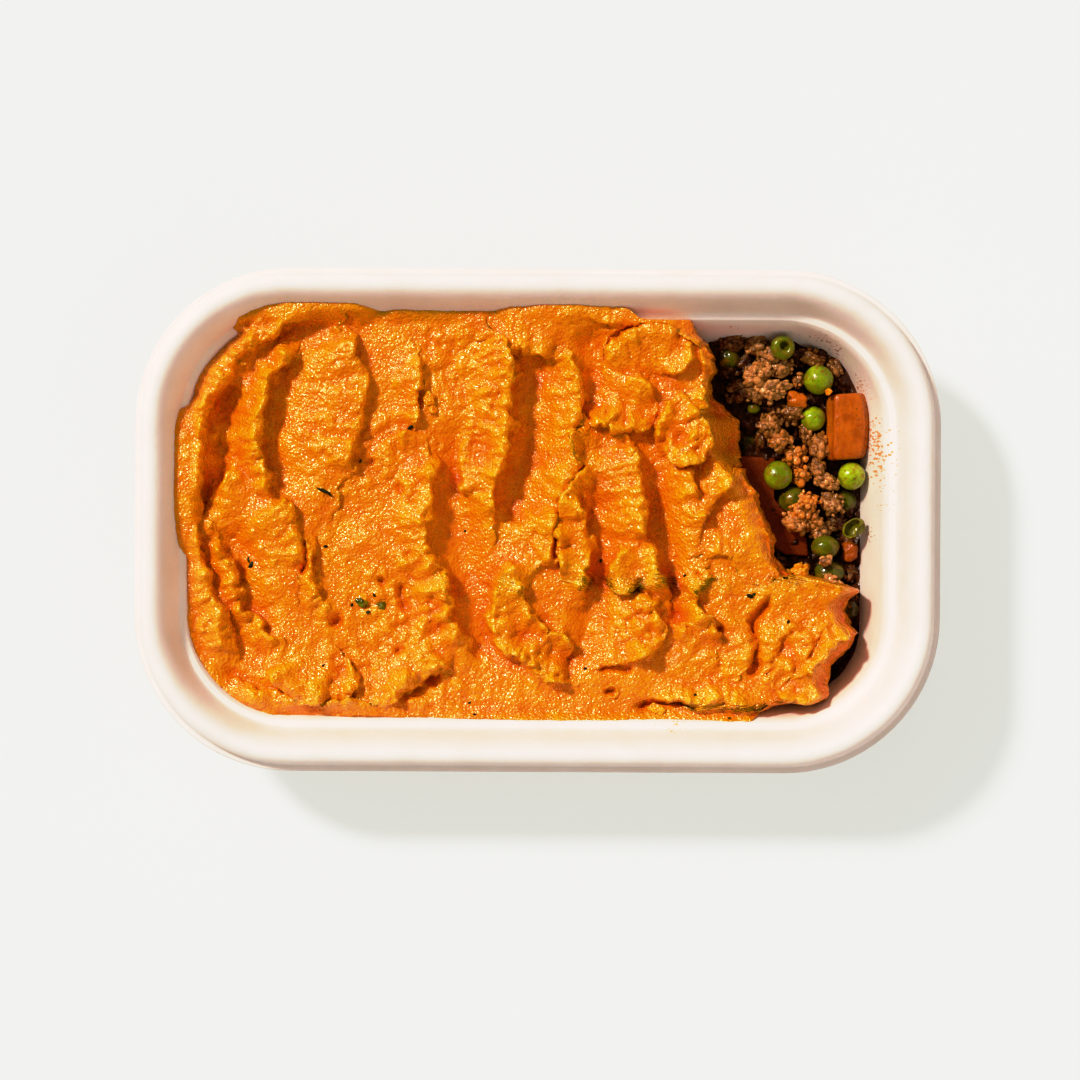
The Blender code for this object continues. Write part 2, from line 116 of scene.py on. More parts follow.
def smooth_route(route, parts=5):
    """A route's corners rounded: a Catmull-Rom curve through its points."""
    points = np.array(route, dtype=float)
    if len(points) < 3:
        return points
    ends = np.concatenate([[2 * points[0] - points[1]], points, [2 * points[-1] - points[-2]]])
    t = np.arange(parts)[:, None, None] / parts
    a, b, c, d = ends[:-3], ends[1:-2], ends[2:-1], ends[3:]
    curve = 0.5 * (2 * b + (c - a) * t + (2 * a - 5 * b + 4 * c - d) * t ** 2
                   + (3 * b - a - 3 * c + d) * t ** 3)
    curve = curve.transpose(1, 0, 2).reshape(-1, points.shape[1])
    return np.concatenate([curve, points[-1:]])


def near_route(x, y, route):
    """Distance from a route, positive on its left, the part travelled and the left direction."""
    points = np.asarray(route, dtype=float)
    runs = np.diff(points, axis=0)
    lengths = np.hypot(runs[:, 0], runs[:, 1])
    before = np.concatenate([[0.0], np.cumsum(lengths)])
    best = np.full(x.shape, np.inf)
    side = np.ones(x.shape)
    travelled = np.zeros(x.shape)
    left = np.zeros(x.shape + (2,))
    for index, (run, length) in enumerate(zip(runs, lengths)):
        from_x = x - points[index, 0]
        from_y = y - points[index, 1]
        part = np.clip((from_x * run[0] + from_y * run[1]) / length ** 2, 0, 1)
        away = np.hypot(from_x - part * run[0], from_y - part * run[1])
        closer = away < best
        turn = np.where(run[0] * from_y - run[1] * from_x < 0, -1.0, 1.0)
        best = np.where(closer, away, best)
        side = np.where(closer, turn, side)
        travelled = np.where(closer, (before[index] + part * length) / before[-1], travelled)
        left[closer] = np.array([-run[1], run[0]]) / length
    return best * side, travelled, left


# ---------------------------------------------------------------- meshes

def new_mesh(name, points, faces, smooth=True):
    """An object at the origin from points in millimetres, its faces turned outwards."""
    mesh = bpy.data.meshes.new(name)
    mesh.from_pydata((np.asarray(points) * MM).tolist(), [], faces)
    work = bmesh.new()
    work.from_mesh(mesh)
    bmesh.ops.recalc_face_normals(work, faces=work.faces[:])
    work.to_mesh(mesh)
    work.free()
    if smooth:
        mesh.shade_smooth()
    item = bpy.data.objects.new(name, mesh)
    bpy.context.scene.collection.objects.link(item)
    return item


def grid_faces(rows, columns, closed=False, start=0):
    """Quads of a grid of rows by columns; closed joins the last column to the first."""
    row = np.arange(rows - 1)[:, None]
    column = np.arange(columns if closed else columns - 1)[None, :]
    after = (column + 1) % columns
    quads = np.stack([row * columns + column, row * columns + after,
                      (row + 1) * columns + after, (row + 1) * columns + column], axis=-1)
    return (quads.reshape(-1, 4) + start).tolist()


def add_values(item, name, values):
    """A number for each point of a mesh, for its material to read."""
    layer = item.data.attributes.new(name, "FLOAT", "POINT")
    layer.data.foreach_set("value", np.asarray(values, dtype=np.float32).ravel())


def finish_piece(item, material, slot, *nodes):
    """Give a piece its material and its body, and hide the nodes that it stands for; slot is not used.
    """
    item.data.materials.clear()
    item.data.materials.append(material)
    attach(item, "root")
    if nodes:
        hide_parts(*nodes)
    return item


# ---------------------------------------------------------------- materials

class Recipe:
    """A Principled material under construction: short calls add and join its nodes."""

    def __init__(self, name, **sockets):
        self.material = bpy.data.materials.new(name)
        self.material.use_nodes = True
        self.tree = self.material.node_tree
        self.shader = self.tree.nodes["Principled BSDF"]
        for label, value in sockets.items():
            self.shader.inputs[label.replace("_", " ")].default_value = value
        self.place = self.add("ShaderNodeTexCoord").outputs["Object"]

    def add(self, kind, **values):
        """A node, with its own settings by name."""
        node = self.tree.nodes.new(kind)
        for label, value in values.items():
            setattr(node, label, value)
        return node

    def join(self, source, target):
        """A link, or a plain value when the source isn't a socket."""
        if isinstance(source, bpy.types.NodeSocket):
            self.tree.links.new(source, target)
        else:
            target.default_value = source

    def noise(self, size, detail=3.0, stretch=None, distortion=0.0):
        """Noise with features of a size in millimetres, from 0 to 1."""
        node = self.add("ShaderNodeTexNoise")
        node.inputs["Scale"].default_value = 1 / (size * MM)
        node.inputs["Detail"].default_value = detail
        node.inputs["Distortion"].default_value = distortion
        place = self.place
        if stretch:
            mapping = self.add("ShaderNodeMapping")
            mapping.inputs["Scale"].default_value = stretch
            self.join(place, mapping.inputs["Vector"])
            place = mapping.outputs["Vector"]
        self.join(place, node.inputs["Vector"])
        return node.outputs["Fac"]

    def cells(self, size, randomness=1.0):
        """Distance to the nearest cell's middle, cells of a size in millimetres."""
        node = self.add("ShaderNodeTexVoronoi")
        node.inputs["Scale"].default_value = 1 / (size * MM)
        node.inputs["Randomness"].default_value = randomness
        self.join(self.place, node.inputs["Vector"])
        return node.outputs["Distance"]

    def value(self, name):
        """A number kept on the mesh's points."""
        return self.add("ShaderNodeAttribute", attribute_name=name).outputs["Fac"]

    def sums(self, operation, first, second):
        """Arithmetic on two numbers."""
        node = self.add("ShaderNodeMath", operation=operation)
        self.join(first, node.inputs[0])
        self.join(second, node.inputs[1])
        return node.outputs[0]

    def span(self, source, low, high, to_low=0.0, to_high=1.0):
        """A number moved from one span to another, held at its ends."""
        node = self.add("ShaderNodeMapRange")
        self.join(source, node.inputs["Value"])
        for label, value in (("From Min", low), ("From Max", high),
                             ("To Min", to_low), ("To Max", to_high)):
            node.inputs[label].default_value = value
        return node.outputs["Result"]

    def ramp(self, source, stops):
        """Colours along a number from 0 to 1."""
        node = self.add("ShaderNodeValToRGB")
        places = node.color_ramp.elements
        while len(places) < len(stops):
            places.new(0.5)
        for element, (position, colour) in zip(places, stops):
            element.position = position
            element.color = (*colour, 1.0)
        self.join(source, node.inputs["Fac"])
        return node.outputs["Color"]

    def blend(self, factor, first, second, mode="MIX"):
        """Two colours mixed by a number."""
        node = self.add("ShaderNodeMix", data_type="RGBA", blend_type=mode)
        self.join(factor, node.inputs[0])
        for colour, socket in ((first, node.inputs[6]), (second, node.inputs[7])):
            self.join(colour if isinstance(colour, bpy.types.NodeSocket) else (*colour, 1.0), socket)
        return node.outputs[2]

    def relief(self, *layers, socket="Normal"):
        """Bumps laid over each other: (height socket, depth in millimetres)."""
        below = None
        for height, depth in layers:
            node = self.add("ShaderNodeBump")
            node.inputs["Strength"].default_value = 1.0
            node.inputs["Distance"].default_value = depth * MM
            self.join(height, node.inputs["Height"])
            if below:
                self.join(below, node.inputs["Normal"])
            below = node.outputs["Normal"]
        self.join(below, self.shader.inputs[socket])

    def colour(self, source):
        """The base colour."""
        self.join(source, self.shader.inputs["Base Color"])
        return self.material

    def rough(self, source):
        """The roughness."""
        self.join(source, self.shader.inputs["Roughness"])


# ---------------------------------------------------------------- tray

def corner_radius(inset):
    """The corner radius at a distance in from the outer edge."""
    return along(CORNER_RADII, inset)


def wall_inset(height):
    """How far in from the outer edge the food side of the tray stands at a height."""
    return along([(z, inset) for inset, z in RIM[4:] + WALL], height)


def half_length_at(y, inset):
    """Half the length of the rounded loop at an inset, measured across at y."""
    radius = corner_radius(inset)
    straight = HALF_WIDTH - inset - radius
    past = np.clip(np.abs(y) - straight, 0, radius)
    return HALF_LENGTH - inset - radius + np.sqrt(radius ** 2 - past ** 2)


def held_by_wall(points, hide=0.75):
    """Points that lie past the wall, brought straight back to a depth of hide inside its sheet.

    The wall's loop at each height is a rectangle grown by its corner radius: what a point has past
    the rectangle is shortened to that radius.
    """
    inset = wall_inset(np.clip(points[..., 2], 2.0, None)) - hide
    radius = corner_radius(inset)
    straight = np.array([HALF_LENGTH, HALF_WIDTH]) - (inset + radius)[..., None]
    flat = points[..., :2]
    past = np.maximum(np.abs(flat) - straight, 0)
    reach = np.hypot(past[..., 0], past[..., 1])
    share = np.minimum(1, radius / np.maximum(reach, 1e-6))[..., None]
    held = np.sign(flat) * (np.minimum(np.abs(flat), straight) + past * share)
    return np.concatenate([held, points[..., 2:]], axis=-1)


def tray_loop(inset, height, arc_steps, side_steps):
    """A rounded rectangle at an inset: four arcs of equal steps and the straights between."""
    radius = corner_radius(inset)
    points = []
    for quarter in range(4):
        side_x = 1 if quarter in (0, 3) else -1
        side_y = 1 if quarter in (0, 1) else -1
        middle = np.array([side_x * (HALF_LENGTH - inset - radius),
                           side_y * (HALF_WIDTH - inset - radius)])
        angle = math.pi / 2 * (quarter + np.arange(arc_steps + 1) / arc_steps)
        points.append(middle + radius * np.stack([np.cos(angle), np.sin(angle)], axis=1))
    loop = []
    for quarter in range(4):
        loop.append(points[quarter])
        first, last = points[quarter][-1], points[(quarter + 1) % 4][0]
        parts = np.arange(1, side_steps)[:, None] / side_steps
        loop.append(first + (last - first) * parts)
    loop = np.concatenate(loop)
    return np.concatenate([loop, np.full((len(loop), 1), height)], axis=1)


def tray_material():
    """Pressed plant fibre: warm white, a felted grain, faint blotches and a few sauce marks.

    The marks show only on faces that turn upwards, which are the ones on the food side.
    """
    pulp = Recipe("fibre_pulp", Roughness=0.62, Specular_IOR_Level=0.35,
                  Subsurface_Weight=0.15, Subsurface_Radius=(1.0, 0.7, 0.5),
                  Subsurface_Scale=0.002)
    blotch = pulp.noise(9, 4)
    fibre = pulp.noise(0.5, 4, distortion=0.6)
    tone = pulp.ramp(blotch, [(0.3, (0.85, 0.73, 0.655)), (0.7, (0.89, 0.775, 0.705))])
    marked = tone
    for marks in SAUCE_MARKS:
        marked = sauce_mark(pulp, marked, *marks)
    facing = pulp.add("ShaderNodeSeparateXYZ")
    pulp.join(pulp.add("ShaderNodeNewGeometry").outputs["Normal"], facing.inputs[0])
    tone = pulp.blend(pulp.span(facing.outputs["Z"], -0.05, 0.1), tone, marked)
    pulp.relief((pulp.noise(14, 2), 0.25), (pulp.noise(1.6, 3), 0.06), (fibre, 0.05))
    return pulp.colour(tone)


# Sauce that touched the walls: middle, reach, size of the spots, how much is covered, colour.
SAUCE_MARKS = [
    ((94.6, 19.5, 24.0), 22.0, 1.5, 0.47, (0.75, 0.30, 0.03)),
    ((92.6, 24.0, 20.0), 13.0, 1.1, 0.46, (0.70, 0.26, 0.02)),
    ((96.5, 6.0, 28.0), 16.0, 0.9, 0.56, (0.66, 0.27, 0.04)),
    ((80.0, 49.5, 24.0), 20.0, 0.9, 0.54, (0.35, 0.15, 0.03)),
    ((90.0, 38.0, 20.0), 16.0, 0.8, 0.56, (0.50, 0.20, 0.03)),
    ((54.0, 55.0, 27.0), 5.0, 0.8, 0.46, (0.60, 0.22, 0.02)),
    ((25.0, -55.8, 28.5), 6.0, 1.2, 0.48, (0.80, 0.42, 0.10)),
    ((38.0, -57.0, 31.5), 9.0, 1.0, 0.52, (0.80, 0.42, 0.10)),
    ((-25.5, -55.6, 28.0), 4.0, 0.9, 0.48, (0.80, 0.42, 0.10)),
    ((93.5, -3.0, 20.0), 7.0, 0.9, 0.50, (0.45, 0.20, 0.03)),
]


def sauce_mark(pulp, tone, middle, reach, size, cover, colour):
    """Spots and streaks of sauce inside a ball: noise above a level that rises to the ball's edge."""
    away = pulp.add("ShaderNodeVectorMath", operation="DISTANCE")
    pulp.join(pulp.place, away.inputs[0])
    away.inputs[1].default_value = [value * MM for value in middle]
    level = pulp.span(away.outputs["Value"], 0, reach * MM, cover, 0.85)
    spots = pulp.noise(size, 3, stretch=(1.0, 1.6, 0.5))
    over = pulp.span(pulp.sums("SUBTRACT", spots, level), 0.0, 0.06, 0.0, 0.85)
    return pulp.blend(over, tone, colour)


def build_tray():
    """The tray: rounded loops carried down a smoothed profile, thickened away from the food."""
    profile = np.concatenate([smooth_route(RIM, 4)[:-1], smooth_route(RIM[-1:] + WALL, 5)[:-1],
                              smooth_route(WALL[-1:] + FOOT, 3), [[52, 2.0]]])
    loops = [tray_loop(inset, height, 20, 14) for inset, height in profile]
    points = np.concatenate(loops)
    rows, columns = len(loops), len(loops[0])
    faces = grid_faces(rows, columns, closed=True)
    last = (rows - 1) * columns
    faces.append(list(range(last, last + columns)))
    item = new_mesh("tray_pulp", points, faces)
    work = bmesh.new()
    work.from_mesh(item.data)
    middle = [face for face in work.faces if len(face.verts) > 4][0]
    if middle.normal.z < 0:
        bmesh.ops.reverse_faces(work, faces=work.faces[:])
    work.to_mesh(item.data)
    work.free()
    sheet = item.modifiers.new("sheet", "SOLIDIFY")
    sheet.thickness = SHEET * MM
    sheet.offset = -1
    sheet.use_even_offset = True
    return finish_piece(item, tray_material(), "fibre", "tray")


# ---------------------------------------------------------------- mash

MASH_LEVEL = 30.3
MASH_TILT = 0.022
MASH_CEILING = 38.5
MASH_COLUMNS = 345
MASH_ROWS = 222
SKIRT_ROWS = 12
EDGE_HIDE = 0.35

# Where the mash meets the walls: its height along the left, back and front walls.
LEFT_HEIGHTS = [(-70, 28.5), (-48, 29.0), (-30, 30.2), (-12, 31.0), (-3, 34.0), (5, 35.0),
                (18, 34.8), (26, 34.3), (30, 32.7), (34, 29.5), (41, 31.2), (45, 30.2),
                (50, 30.5), (53, 33.0), (55, 35.5), (57.5, 36.5), (60, 37.3), (70, 37.3)]
BACK_HEIGHTS = [(-110, 36.5), (-76, 36.5), (-70, 37.3), (-50, 36.6), (-45, 33.4), (-25, 32.8),
                (-12, 33.0),
                (-8, 35.0), (0, 36.2), (9, 36.6), (16, 35.8), (30, 35.8), (36, 35.0),
                (41, 33.0), (46, 30.0)]
# Over what width the mash climbs to the back wall.
BACK_CLIMB = [(-110, 4.0), (-78, 5.0), (-50, 6.0), (-42, 3.5), (-14, 3.5), (-6, 11.0), (20, 9.0),
              (36, 5.0), (60, 4.0)]
FRONT_HEIGHTS = [(-110, 29.0), (-80, 28.6), (-66, 27.6), (-45, 29.6), (-30, 29.2), (-18, 30.2),
                 (0, 30.8), (20, 30.6), (36, 29.6), (45, 30.2), (54, 31.0), (64, 29.6)]
# The free edge over the mince: (y, x), and how the mash falls towards it: (y, fall, width).
FREE_EDGE = [(70, 30), (56, 40.5), (52.5, 43.2), (46, 48.4), (42, 49), (38, 48), (34, 47.2),
             (31.5, 51.5), (28, 54.6), (25, 55.4), (20, 54.4), (16, 54.2), (10, 56.2), (5, 59),
             (0, 60.3), (-5, 62.4), (-9, 63.2), (-12.5, 65.8), (-15.0, 69.5), (-16.4, 75),
             (-18, 81), (-19.4, 86.0), (-20.6, 87.3), (-23, 84.2), (-25, 83.6), (-28, 86),
             (-30.5, 87.6), (-32.5, 87.0), (-34, 85.5), (-38, 82), (-41, 80), (-44, 78.2),
             (-47, 78.8), (-49, 75.5), (-50.2, 69), (-51.3, 63), (-53, 60.2), (-60, 59.4)]
EDGE_FALLS = [(60, 2.0, 3.0), (36, 2.5, 2.5), (33, 9.0, 5.0), (30, 12.0, 9.0), (20, 12.0, 8.0),
              (13, 5.0, 4.0), (0, 4.0, 4.0), (-12, 4.5, 4.0), (-20, 2.5, 2.5), (-24, 6.0, 5.0),
              (-33, 3.0, 3.0), (-44, 3.0, 3.0), (-60, 2.0, 2.5)]

# Strokes of the spoon: rise, width of the swept side, width of the torn side, route.
# The torn side is on the left of the route.
STROKES = [
    (5.0, 5.0, 3.0, [(-66, 58), (-74, 53.5), (-80, 48.5), (-85, 43), (-89, 37), (-93, 31),
                     (-94.5, 24), (-94.8, 8), (-95.5, 0)]),
    (5.0, 4.0, 2.5, [(-96, 0), (-95.5, -8), (-93.5, -14), (-92, -20), (-89.5, -25), (-88.5, -31),
                     (-87, -37)]),
    (7.0, 4.0, 2.0, [(-67, 48), (-72, 43.5), (-75, 38), (-77, 33), (-78, 28), (-78.2, 22),
                     (-78, 17), (-76, 11), (-74, 5)]),
    (4.0, 8.0, 1.5, [(-90, 3), (-86, 8.5), (-82, 13.5)]),
    (5.0, 17.0, 2.0, [(-53, 50), (-50, 40), (-49.5, 34), (-50, 28), (-51.5, 21), (-54, 13)]),
    (3.5, 5.0, 1.5, [(-35, 45), (-34, 40), (-35, 35), (-35.2, 30), (-36, 26)]),
    (6.5, 9.0, 1.8, [(-13, 51), (-10, 45), (-9.5, 39), (-9.5, 32), (-9.6, 25), (-10.5, 18),
                     (-12.8, 12), (-13.5, 6), (-13, 0)]),
    (4.5, 6.0, 1.8, [(-14.5, 3), (-18, 9), (-20, 14), (-19.5, 19), (-17.5, 23)]),
    (5.0, 10.0, 1.8, [(5, 45.5), (0, 47), (-7, 47.5), (-12, 48)]),
    (5.0, 6.0, 3.0, [(6, 47), (8.5, 41), (9.3, 34), (9.2, 26), (8.5, 18), (6.5, 11), (4, 5)]),
    (5.5, 5.0, 1.5, [(8.5, -15), (7, -8), (6.5, -1), (7, 4), (9.8, 8), (12, 11), (15.5, 13.5)]),
    (5.5, 4.0, 2.0, [(11.5, 8), (10.5, 3), (11, -3), (12.5, -8), (11.8, -14), (11, -20)]),
    (5.0, 11.0, 1.5, [(4.5, 4), (3.2, -2), (3, -8), (0.5, -11.5)]),
    (5.5, 5.0, 2.0, [(10, -41.5), (3, -40.5), (-2, -37), (-7, -35), (-10, -30), (-10.5, -24),
                     (-9.5, -19), (-7, -15), (-4, -11)]),
    (4.5, 5.0, 1.8, [(-5, -16), (-6, -21), (-4, -25.5), (-0.5, -29), (2, -31.5), (6, -32),
                     (8, -35), (6.5, -39)]),
    (4.0, 4.0, 2.5, [(47, 36), (48, 43), (46.5, 48.5), (41, 53.5), (34, 56.5), (25, 57),
                     (16, 56)]),
    (5.0, 12.0, 2.0, [(19, 43), (21, 48), (26, 51), (33, 52.5), (40, 51)]),
    (3.5, 6.0, 1.5, [(40.5, 51), (40, 46), (38.5, 42.5), (34, 42.5)]),
    (6.0, 7.0, 1.8, [(29, 31), (28.5, 28), (25.5, 27), (22.5, 25.5), (20, 27.5), (17, 28.5),
                     (13, 28)]),
    (5.0, 4.0, 3.0, [(23, 39), (27, 36), (29, 32)]),
    (4.5, 4.0, 1.5, [(15, 18), (11, 20), (13, 24), (12.5, 27), (15, 29)]),
    (7.0, 8.0, 1.5, [(40, 31.5), (43.5, 28), (45.5, 25), (45, 21), (41, 17.5), (37, 19),
                     (34, 22.5)]),
    (5.0, 6.0, 2.0, [(34, 20), (33.5, 25), (36, 29.5), (39, 31.5)]),
    (4.0, 4.0, 1.2, [(44, 35.5), (43.8, 31)]),
    (6.0, 6.0, 2.0, [(52.5, 15), (50, 11), (46, 7), (43.5, 3), (43, -3)]),
    (5.0, 8.0, 2.5, [(39.5, 15), (41, 10), (43, 5)]),
    (3.0, 6.0, 1.2, [(52, 14), (56, 10), (59, 4), (61, -2), (62.5, -8), (64, -13)]),
    (6.0, 11.0, 2.0, [(24, 21), (25.3, 15), (26.5, 9), (27.5, 4), (27, -2), (27, -5)]),
    (7.0, 7.0, 1.5, [(28.5, -5.5), (30.5, -9), (32, -14), (34.5, -20)]),
    (6.0, 6.0, 1.5, [(29, -17.5), (24, -17), (22.5, -14), (23.5, -9.5), (27, -7)]),
    (5.5, 12.0, 1.8, [(30, -20), (31.5, -25), (33, -28.5), (31.5, -33), (29, -36), (24, -37.5)]),
    (5.5, 6.0, 1.8, [(45, -15), (42.5, -20), (43.5, -25), (46.5, -29.5), (48.5, -34)]),
    (3.0, 3.0, 1.2, [(36, -29.5), (40, -30), (43, -31)]),
    (2.5, 8.0, 1.0, [(54.5, -11), (54, -8), (50, -7), (46, -8)]),
    (4.5, 10.0, 1.2, [(69, -17), (75, -16.8), (81, -18.2), (87, -20)]),
    (3.0, 4.0, 4.0, [(72, -26), (67, -30), (63, -34), (61.5, -40)]),
    (4.0, 4.0, 4.0, [(79, -26), (73, -31.5), (69.5, -37), (67, -43)]),
    (5.5, 5.0, 2.0, [(86, -29), (80, -33), (76, -37), (73, -42), (74, -46)]),
    (4.5, 6.0, 1.2, [(79, -45), (75, -48.5), (70, -47.5), (66.5, -45)]),
    (3.5, 5.0, 1.5, [(56, -30), (57.5, -35), (57, -39.5)]),
    (3.5, 3.5, 2.0, [(60, -49.5), (52, -48.5), (42, -48.5), (34, -46.5)]),
    (5.5, 7.0, 1.8, [(-30.5, 16), (-31, 8), (-33, 0), (-32.5, -8), (-29, -12), (-27, -17),
                     (-26, -22), (-25.5, -28), (-20, -35)]),
    (5.0, 8.0, 1.5, [(-25, -38), (-32, -42), (-37, -46), (-42, -49)]),
    (5.0, 10.0, 1.5, [(-56, -50), (-64, -48.5), (-70, -45), (-72.5, -39)]),
    (4.0, 8.0, 1.2, [(-53, -40), (-51.5, -43), (-53, -47), (-55, -50)]),
    (5.0, 3.0, 2.0, [(-89.5, -8), (-86.5, -14), (-85, -20), (-82, -26), (-77, -32),
                     (-71, -35.5)]),
    (3.5, 3.0, 2.0, [(-86, -24), (-87, -28), (-86.5, -33), (-85, -38)]),
    (5.0, 13.0, 2.0, [(-73, 6), (-69.5, 0), (-67, -6), (-66.5, -13)]),
    (5.5, 3.0, 2.0, [(-64.5, -7), (-64, -14), (-62.8, -20), (-60, -25)]),
    (3.0, 3.0, 2.5, [(-83, -47), (-78, -49.5), (-66, -51), (-45, -52.5)]),
    (2.5, 3.0, 1.5, [(-57, 50), (-52, 54)]),
    (2.5, 3.0, 1.5, [(-40, 22), (-34, 22)]),
    (3.0, 4.0, 1.5, [(-11.5, 46), (-8.5, 43.5), (-7, 40)]),
    (2.5, 3.0, 1.5, [(-90.5, -1.5), (-90, -5)]),
]
# Hollows: depth, width, route.
HOLLOWS = [
    (6.0, 4.5, [(-86, 33), (-87.5, 25), (-88, 16), (-89, 9), (-91, 5)]),
    (2.6, 5.0, [(-68, 42), (-71, 34), (-72.5, 26), (-72.5, 19), (-71, 12)]),
    (2.0, 6.0, [(-68, 51), (-60, 50)]),
    (6.0, 6.0, [(-0.5, 41), (-1.5, 36), (-2, 28), (-2.5, 20), (-4.5, 12), (-6, 5)]),
    (5.0, 6.5, [(-21.5, 20), (-22, 10), (-22.5, 0), (-22, -8), (-18, -20), (-14, -32)]),
    (4.0, 4.5, [(14, 55), (15, 46), (15.5, 38), (15.5, 33)]),
    (4.5, 1.6, [(6, 6), (5, 1), (4, -5), (4.2, -9)]),
    (5.0, 5.5, [(17, 2), (17, -12), (15.5, -22), (14, -31), (9, -37)]),
    (5.0, 4.5, [(31.5, 22), (33.5, 12), (33, 0), (36, -10), (38.5, -18), (38.5, -26)]),
    (4.0, 3.0, [(29, 30), (30, 26)]),
    (5.0, 2.5, [(63, -23), (59, -29), (59.5, -36), (59, -41)]),
    (5.0, 6.0, [(-84, -6), (-82, -14), (-81, -21), (-78, -27)]),
    (4.0, 2.5, [(-56, -28), (-55, -27.5)]),
    (3.0, 6.0, [(-83, -28), (-81, -35), (-76, -39)]),
    (3.0, 3.0, [(-84, -43), (-76, -46.5), (-68, -48.5), (-60, -51)]),
    (3.5, 2.0, [(-38, 9), (-37.5, 8)]),
    (3.0, 1.8, [(-47, 16), (-46, 16)]),
    (4.0, 3.0, [(-37, -46.5), (-28, -43)]),
    (3.0, 2.0, [(-37.5, -19), (-36.5, -24)]),
    (3.0, 1.6, [(-36, -9.5), (-36, -10.5)]),
    (3.0, 1.6, [(-43, -17), (-42.4, -17.5)]),
    (2.5, 1.6, [(-38, -36), (-37, -36)]),
    (3.5, 1.3, [(-15.5, -28), (-15, -28.6)]),
    (4.0, 2.0, [(29, -51), (36, -49.8), (44, -50)]),
    (4.5, 2.0, [(18.5, 44), (20, 48.5), (24, 52), (30, 53.8), (34, 53.6)]),
    (3.0, 2.0, [(13, 50), (16, 53), (24, 54.5)]),
    (3.0, 2.0, [(18, -40.5), (25, -40.8)]),
    (3.5, 1.2, [(-65, -6), (-64.5, -11), (-66, -14)]),
    (1.8, 1.6, [(-32.5, 38), (-33, 31)]),
    (3.5, 1.5, [(49.5, -30), (50.5, -30)]),
    (3.0, 1.2, [(43, -14.5), (43.5, -15)]),
    (4.0, 1.7, [(20.2, -47), (20.8, -47)]),
]
STROKE_RISE = 0.92
SWEPT_WIDEN = 1.3
TORN_WIDEN = 2.2
CREST_LEAN = 1.4
BLEND_POWER = 4.0
# Where the mash is torn and lumpy rather than swept: middle and reach.
TORN_PATCHES = [(-38, 18, 15), (-38, -24, 17), (-30, -45, 13), (40, 23, 11), (21, 26, 10),
                (69, -38, 15), (-50, -44, 12), (3, -38, 10), (30, -28, 12), (-26, 44, 12),
                (-84, -10, 12), (42, -26, 10), (-86, 20, 12), (10, 2, 8), (20, 52, 9),
                (-16, 30, 10), (52, -40, 12)]


def mash_ridges(x, y):
    """Highest stroke nearby and how far its crest leans over its torn side.

    Each stroke rises from nothing at its swept width, along a hollow curve, to its crest and drops
    by a smooth step over its torn width; strokes are blended by a power mean.
    """
    points = flat_points(x, y)
    warp_x = x + 1.5 * roughness_field(points, 4.5, 4, 11)
    warp_y = y + 1.5 * roughness_field(points, 4.5, 4, 21)
    total = np.zeros(x.shape)
    lean = np.zeros(x.shape + (2,))
    weight_total = np.full(x.shape, 1e-6)
    for number, (rise, swept, torn, route) in enumerate(STROKES):
        route = smooth_route(route)
        rise = rise * STROKE_RISE
        swept = swept * SWEPT_WIDEN
        torn = torn * 0.9 + TORN_WIDEN
        reach = max(swept, torn) + 2
        near = ((warp_x > route[:, 0].min() - reach) & (warp_x < route[:, 0].max() + reach)
                & (warp_y > route[:, 1].min() - reach) & (warp_y < route[:, 1].max() + reach))
        away, travelled, left = near_route(warp_x[near], warp_y[near], route)
        length = np.hypot(*np.diff(route, axis=0).T).sum()
        ends = ease(np.minimum(travelled, 1 - travelled) * length / 3.5)
        ends = 0.35 + 0.65 * ends
        tears = roughness_field(flat_points(travelled * length, 0 * away + 7.3 * number), 3.2, 3, 31)
        swept_part = np.clip(1 + away / swept, 0, 1)
        shape = np.where(away > 0, ease(1 - away / torn), 0.5 * ease(swept_part)
                         + 0.5 * swept_part ** 1.7)
        shape = np.where(away <= -swept, 0, shape)
        height = np.clip(rise * ends * (1 + 0.38 * tears) * shape, 0, None)
        total[near] += height ** BLEND_POWER
        weight = height ** BLEND_POWER * (shape > 0.3)
        lean[near] += weight[..., None] * left * ease(shape)[..., None] * min(torn, 2) / 2
        weight_total[near] += weight
    lean *= CREST_LEAN / weight_total[..., None]
    return total ** (1 / BLEND_POWER), lean


def mash_hollows(x, y):
    """Deepest hollow nearby, blended by a power mean."""
    points = flat_points(x, y)
    warp_x = x + 0.5 * roughness_field(points, 4.0, 3, 41)
    warp_y = y + 0.5 * roughness_field(points, 4.0, 3, 51)
    total = np.zeros(x.shape)
    for depth, reach, route in HOLLOWS:
        route = smooth_route(route)
        reach = reach * (1.5 if reach > 2.8 else 1.0)
        near = ((warp_x > route[:, 0].min() - reach) & (warp_x < route[:, 0].max() + reach)
                & (warp_y > route[:, 1].min() - reach) & (warp_y < route[:, 1].max() + reach))
        away = near_route(warp_x[near], warp_y[near], route)[0]
        total[near] += (depth * ease(1 - np.abs(away) / reach)) ** BLEND_POWER
    return total ** (1 / BLEND_POWER)


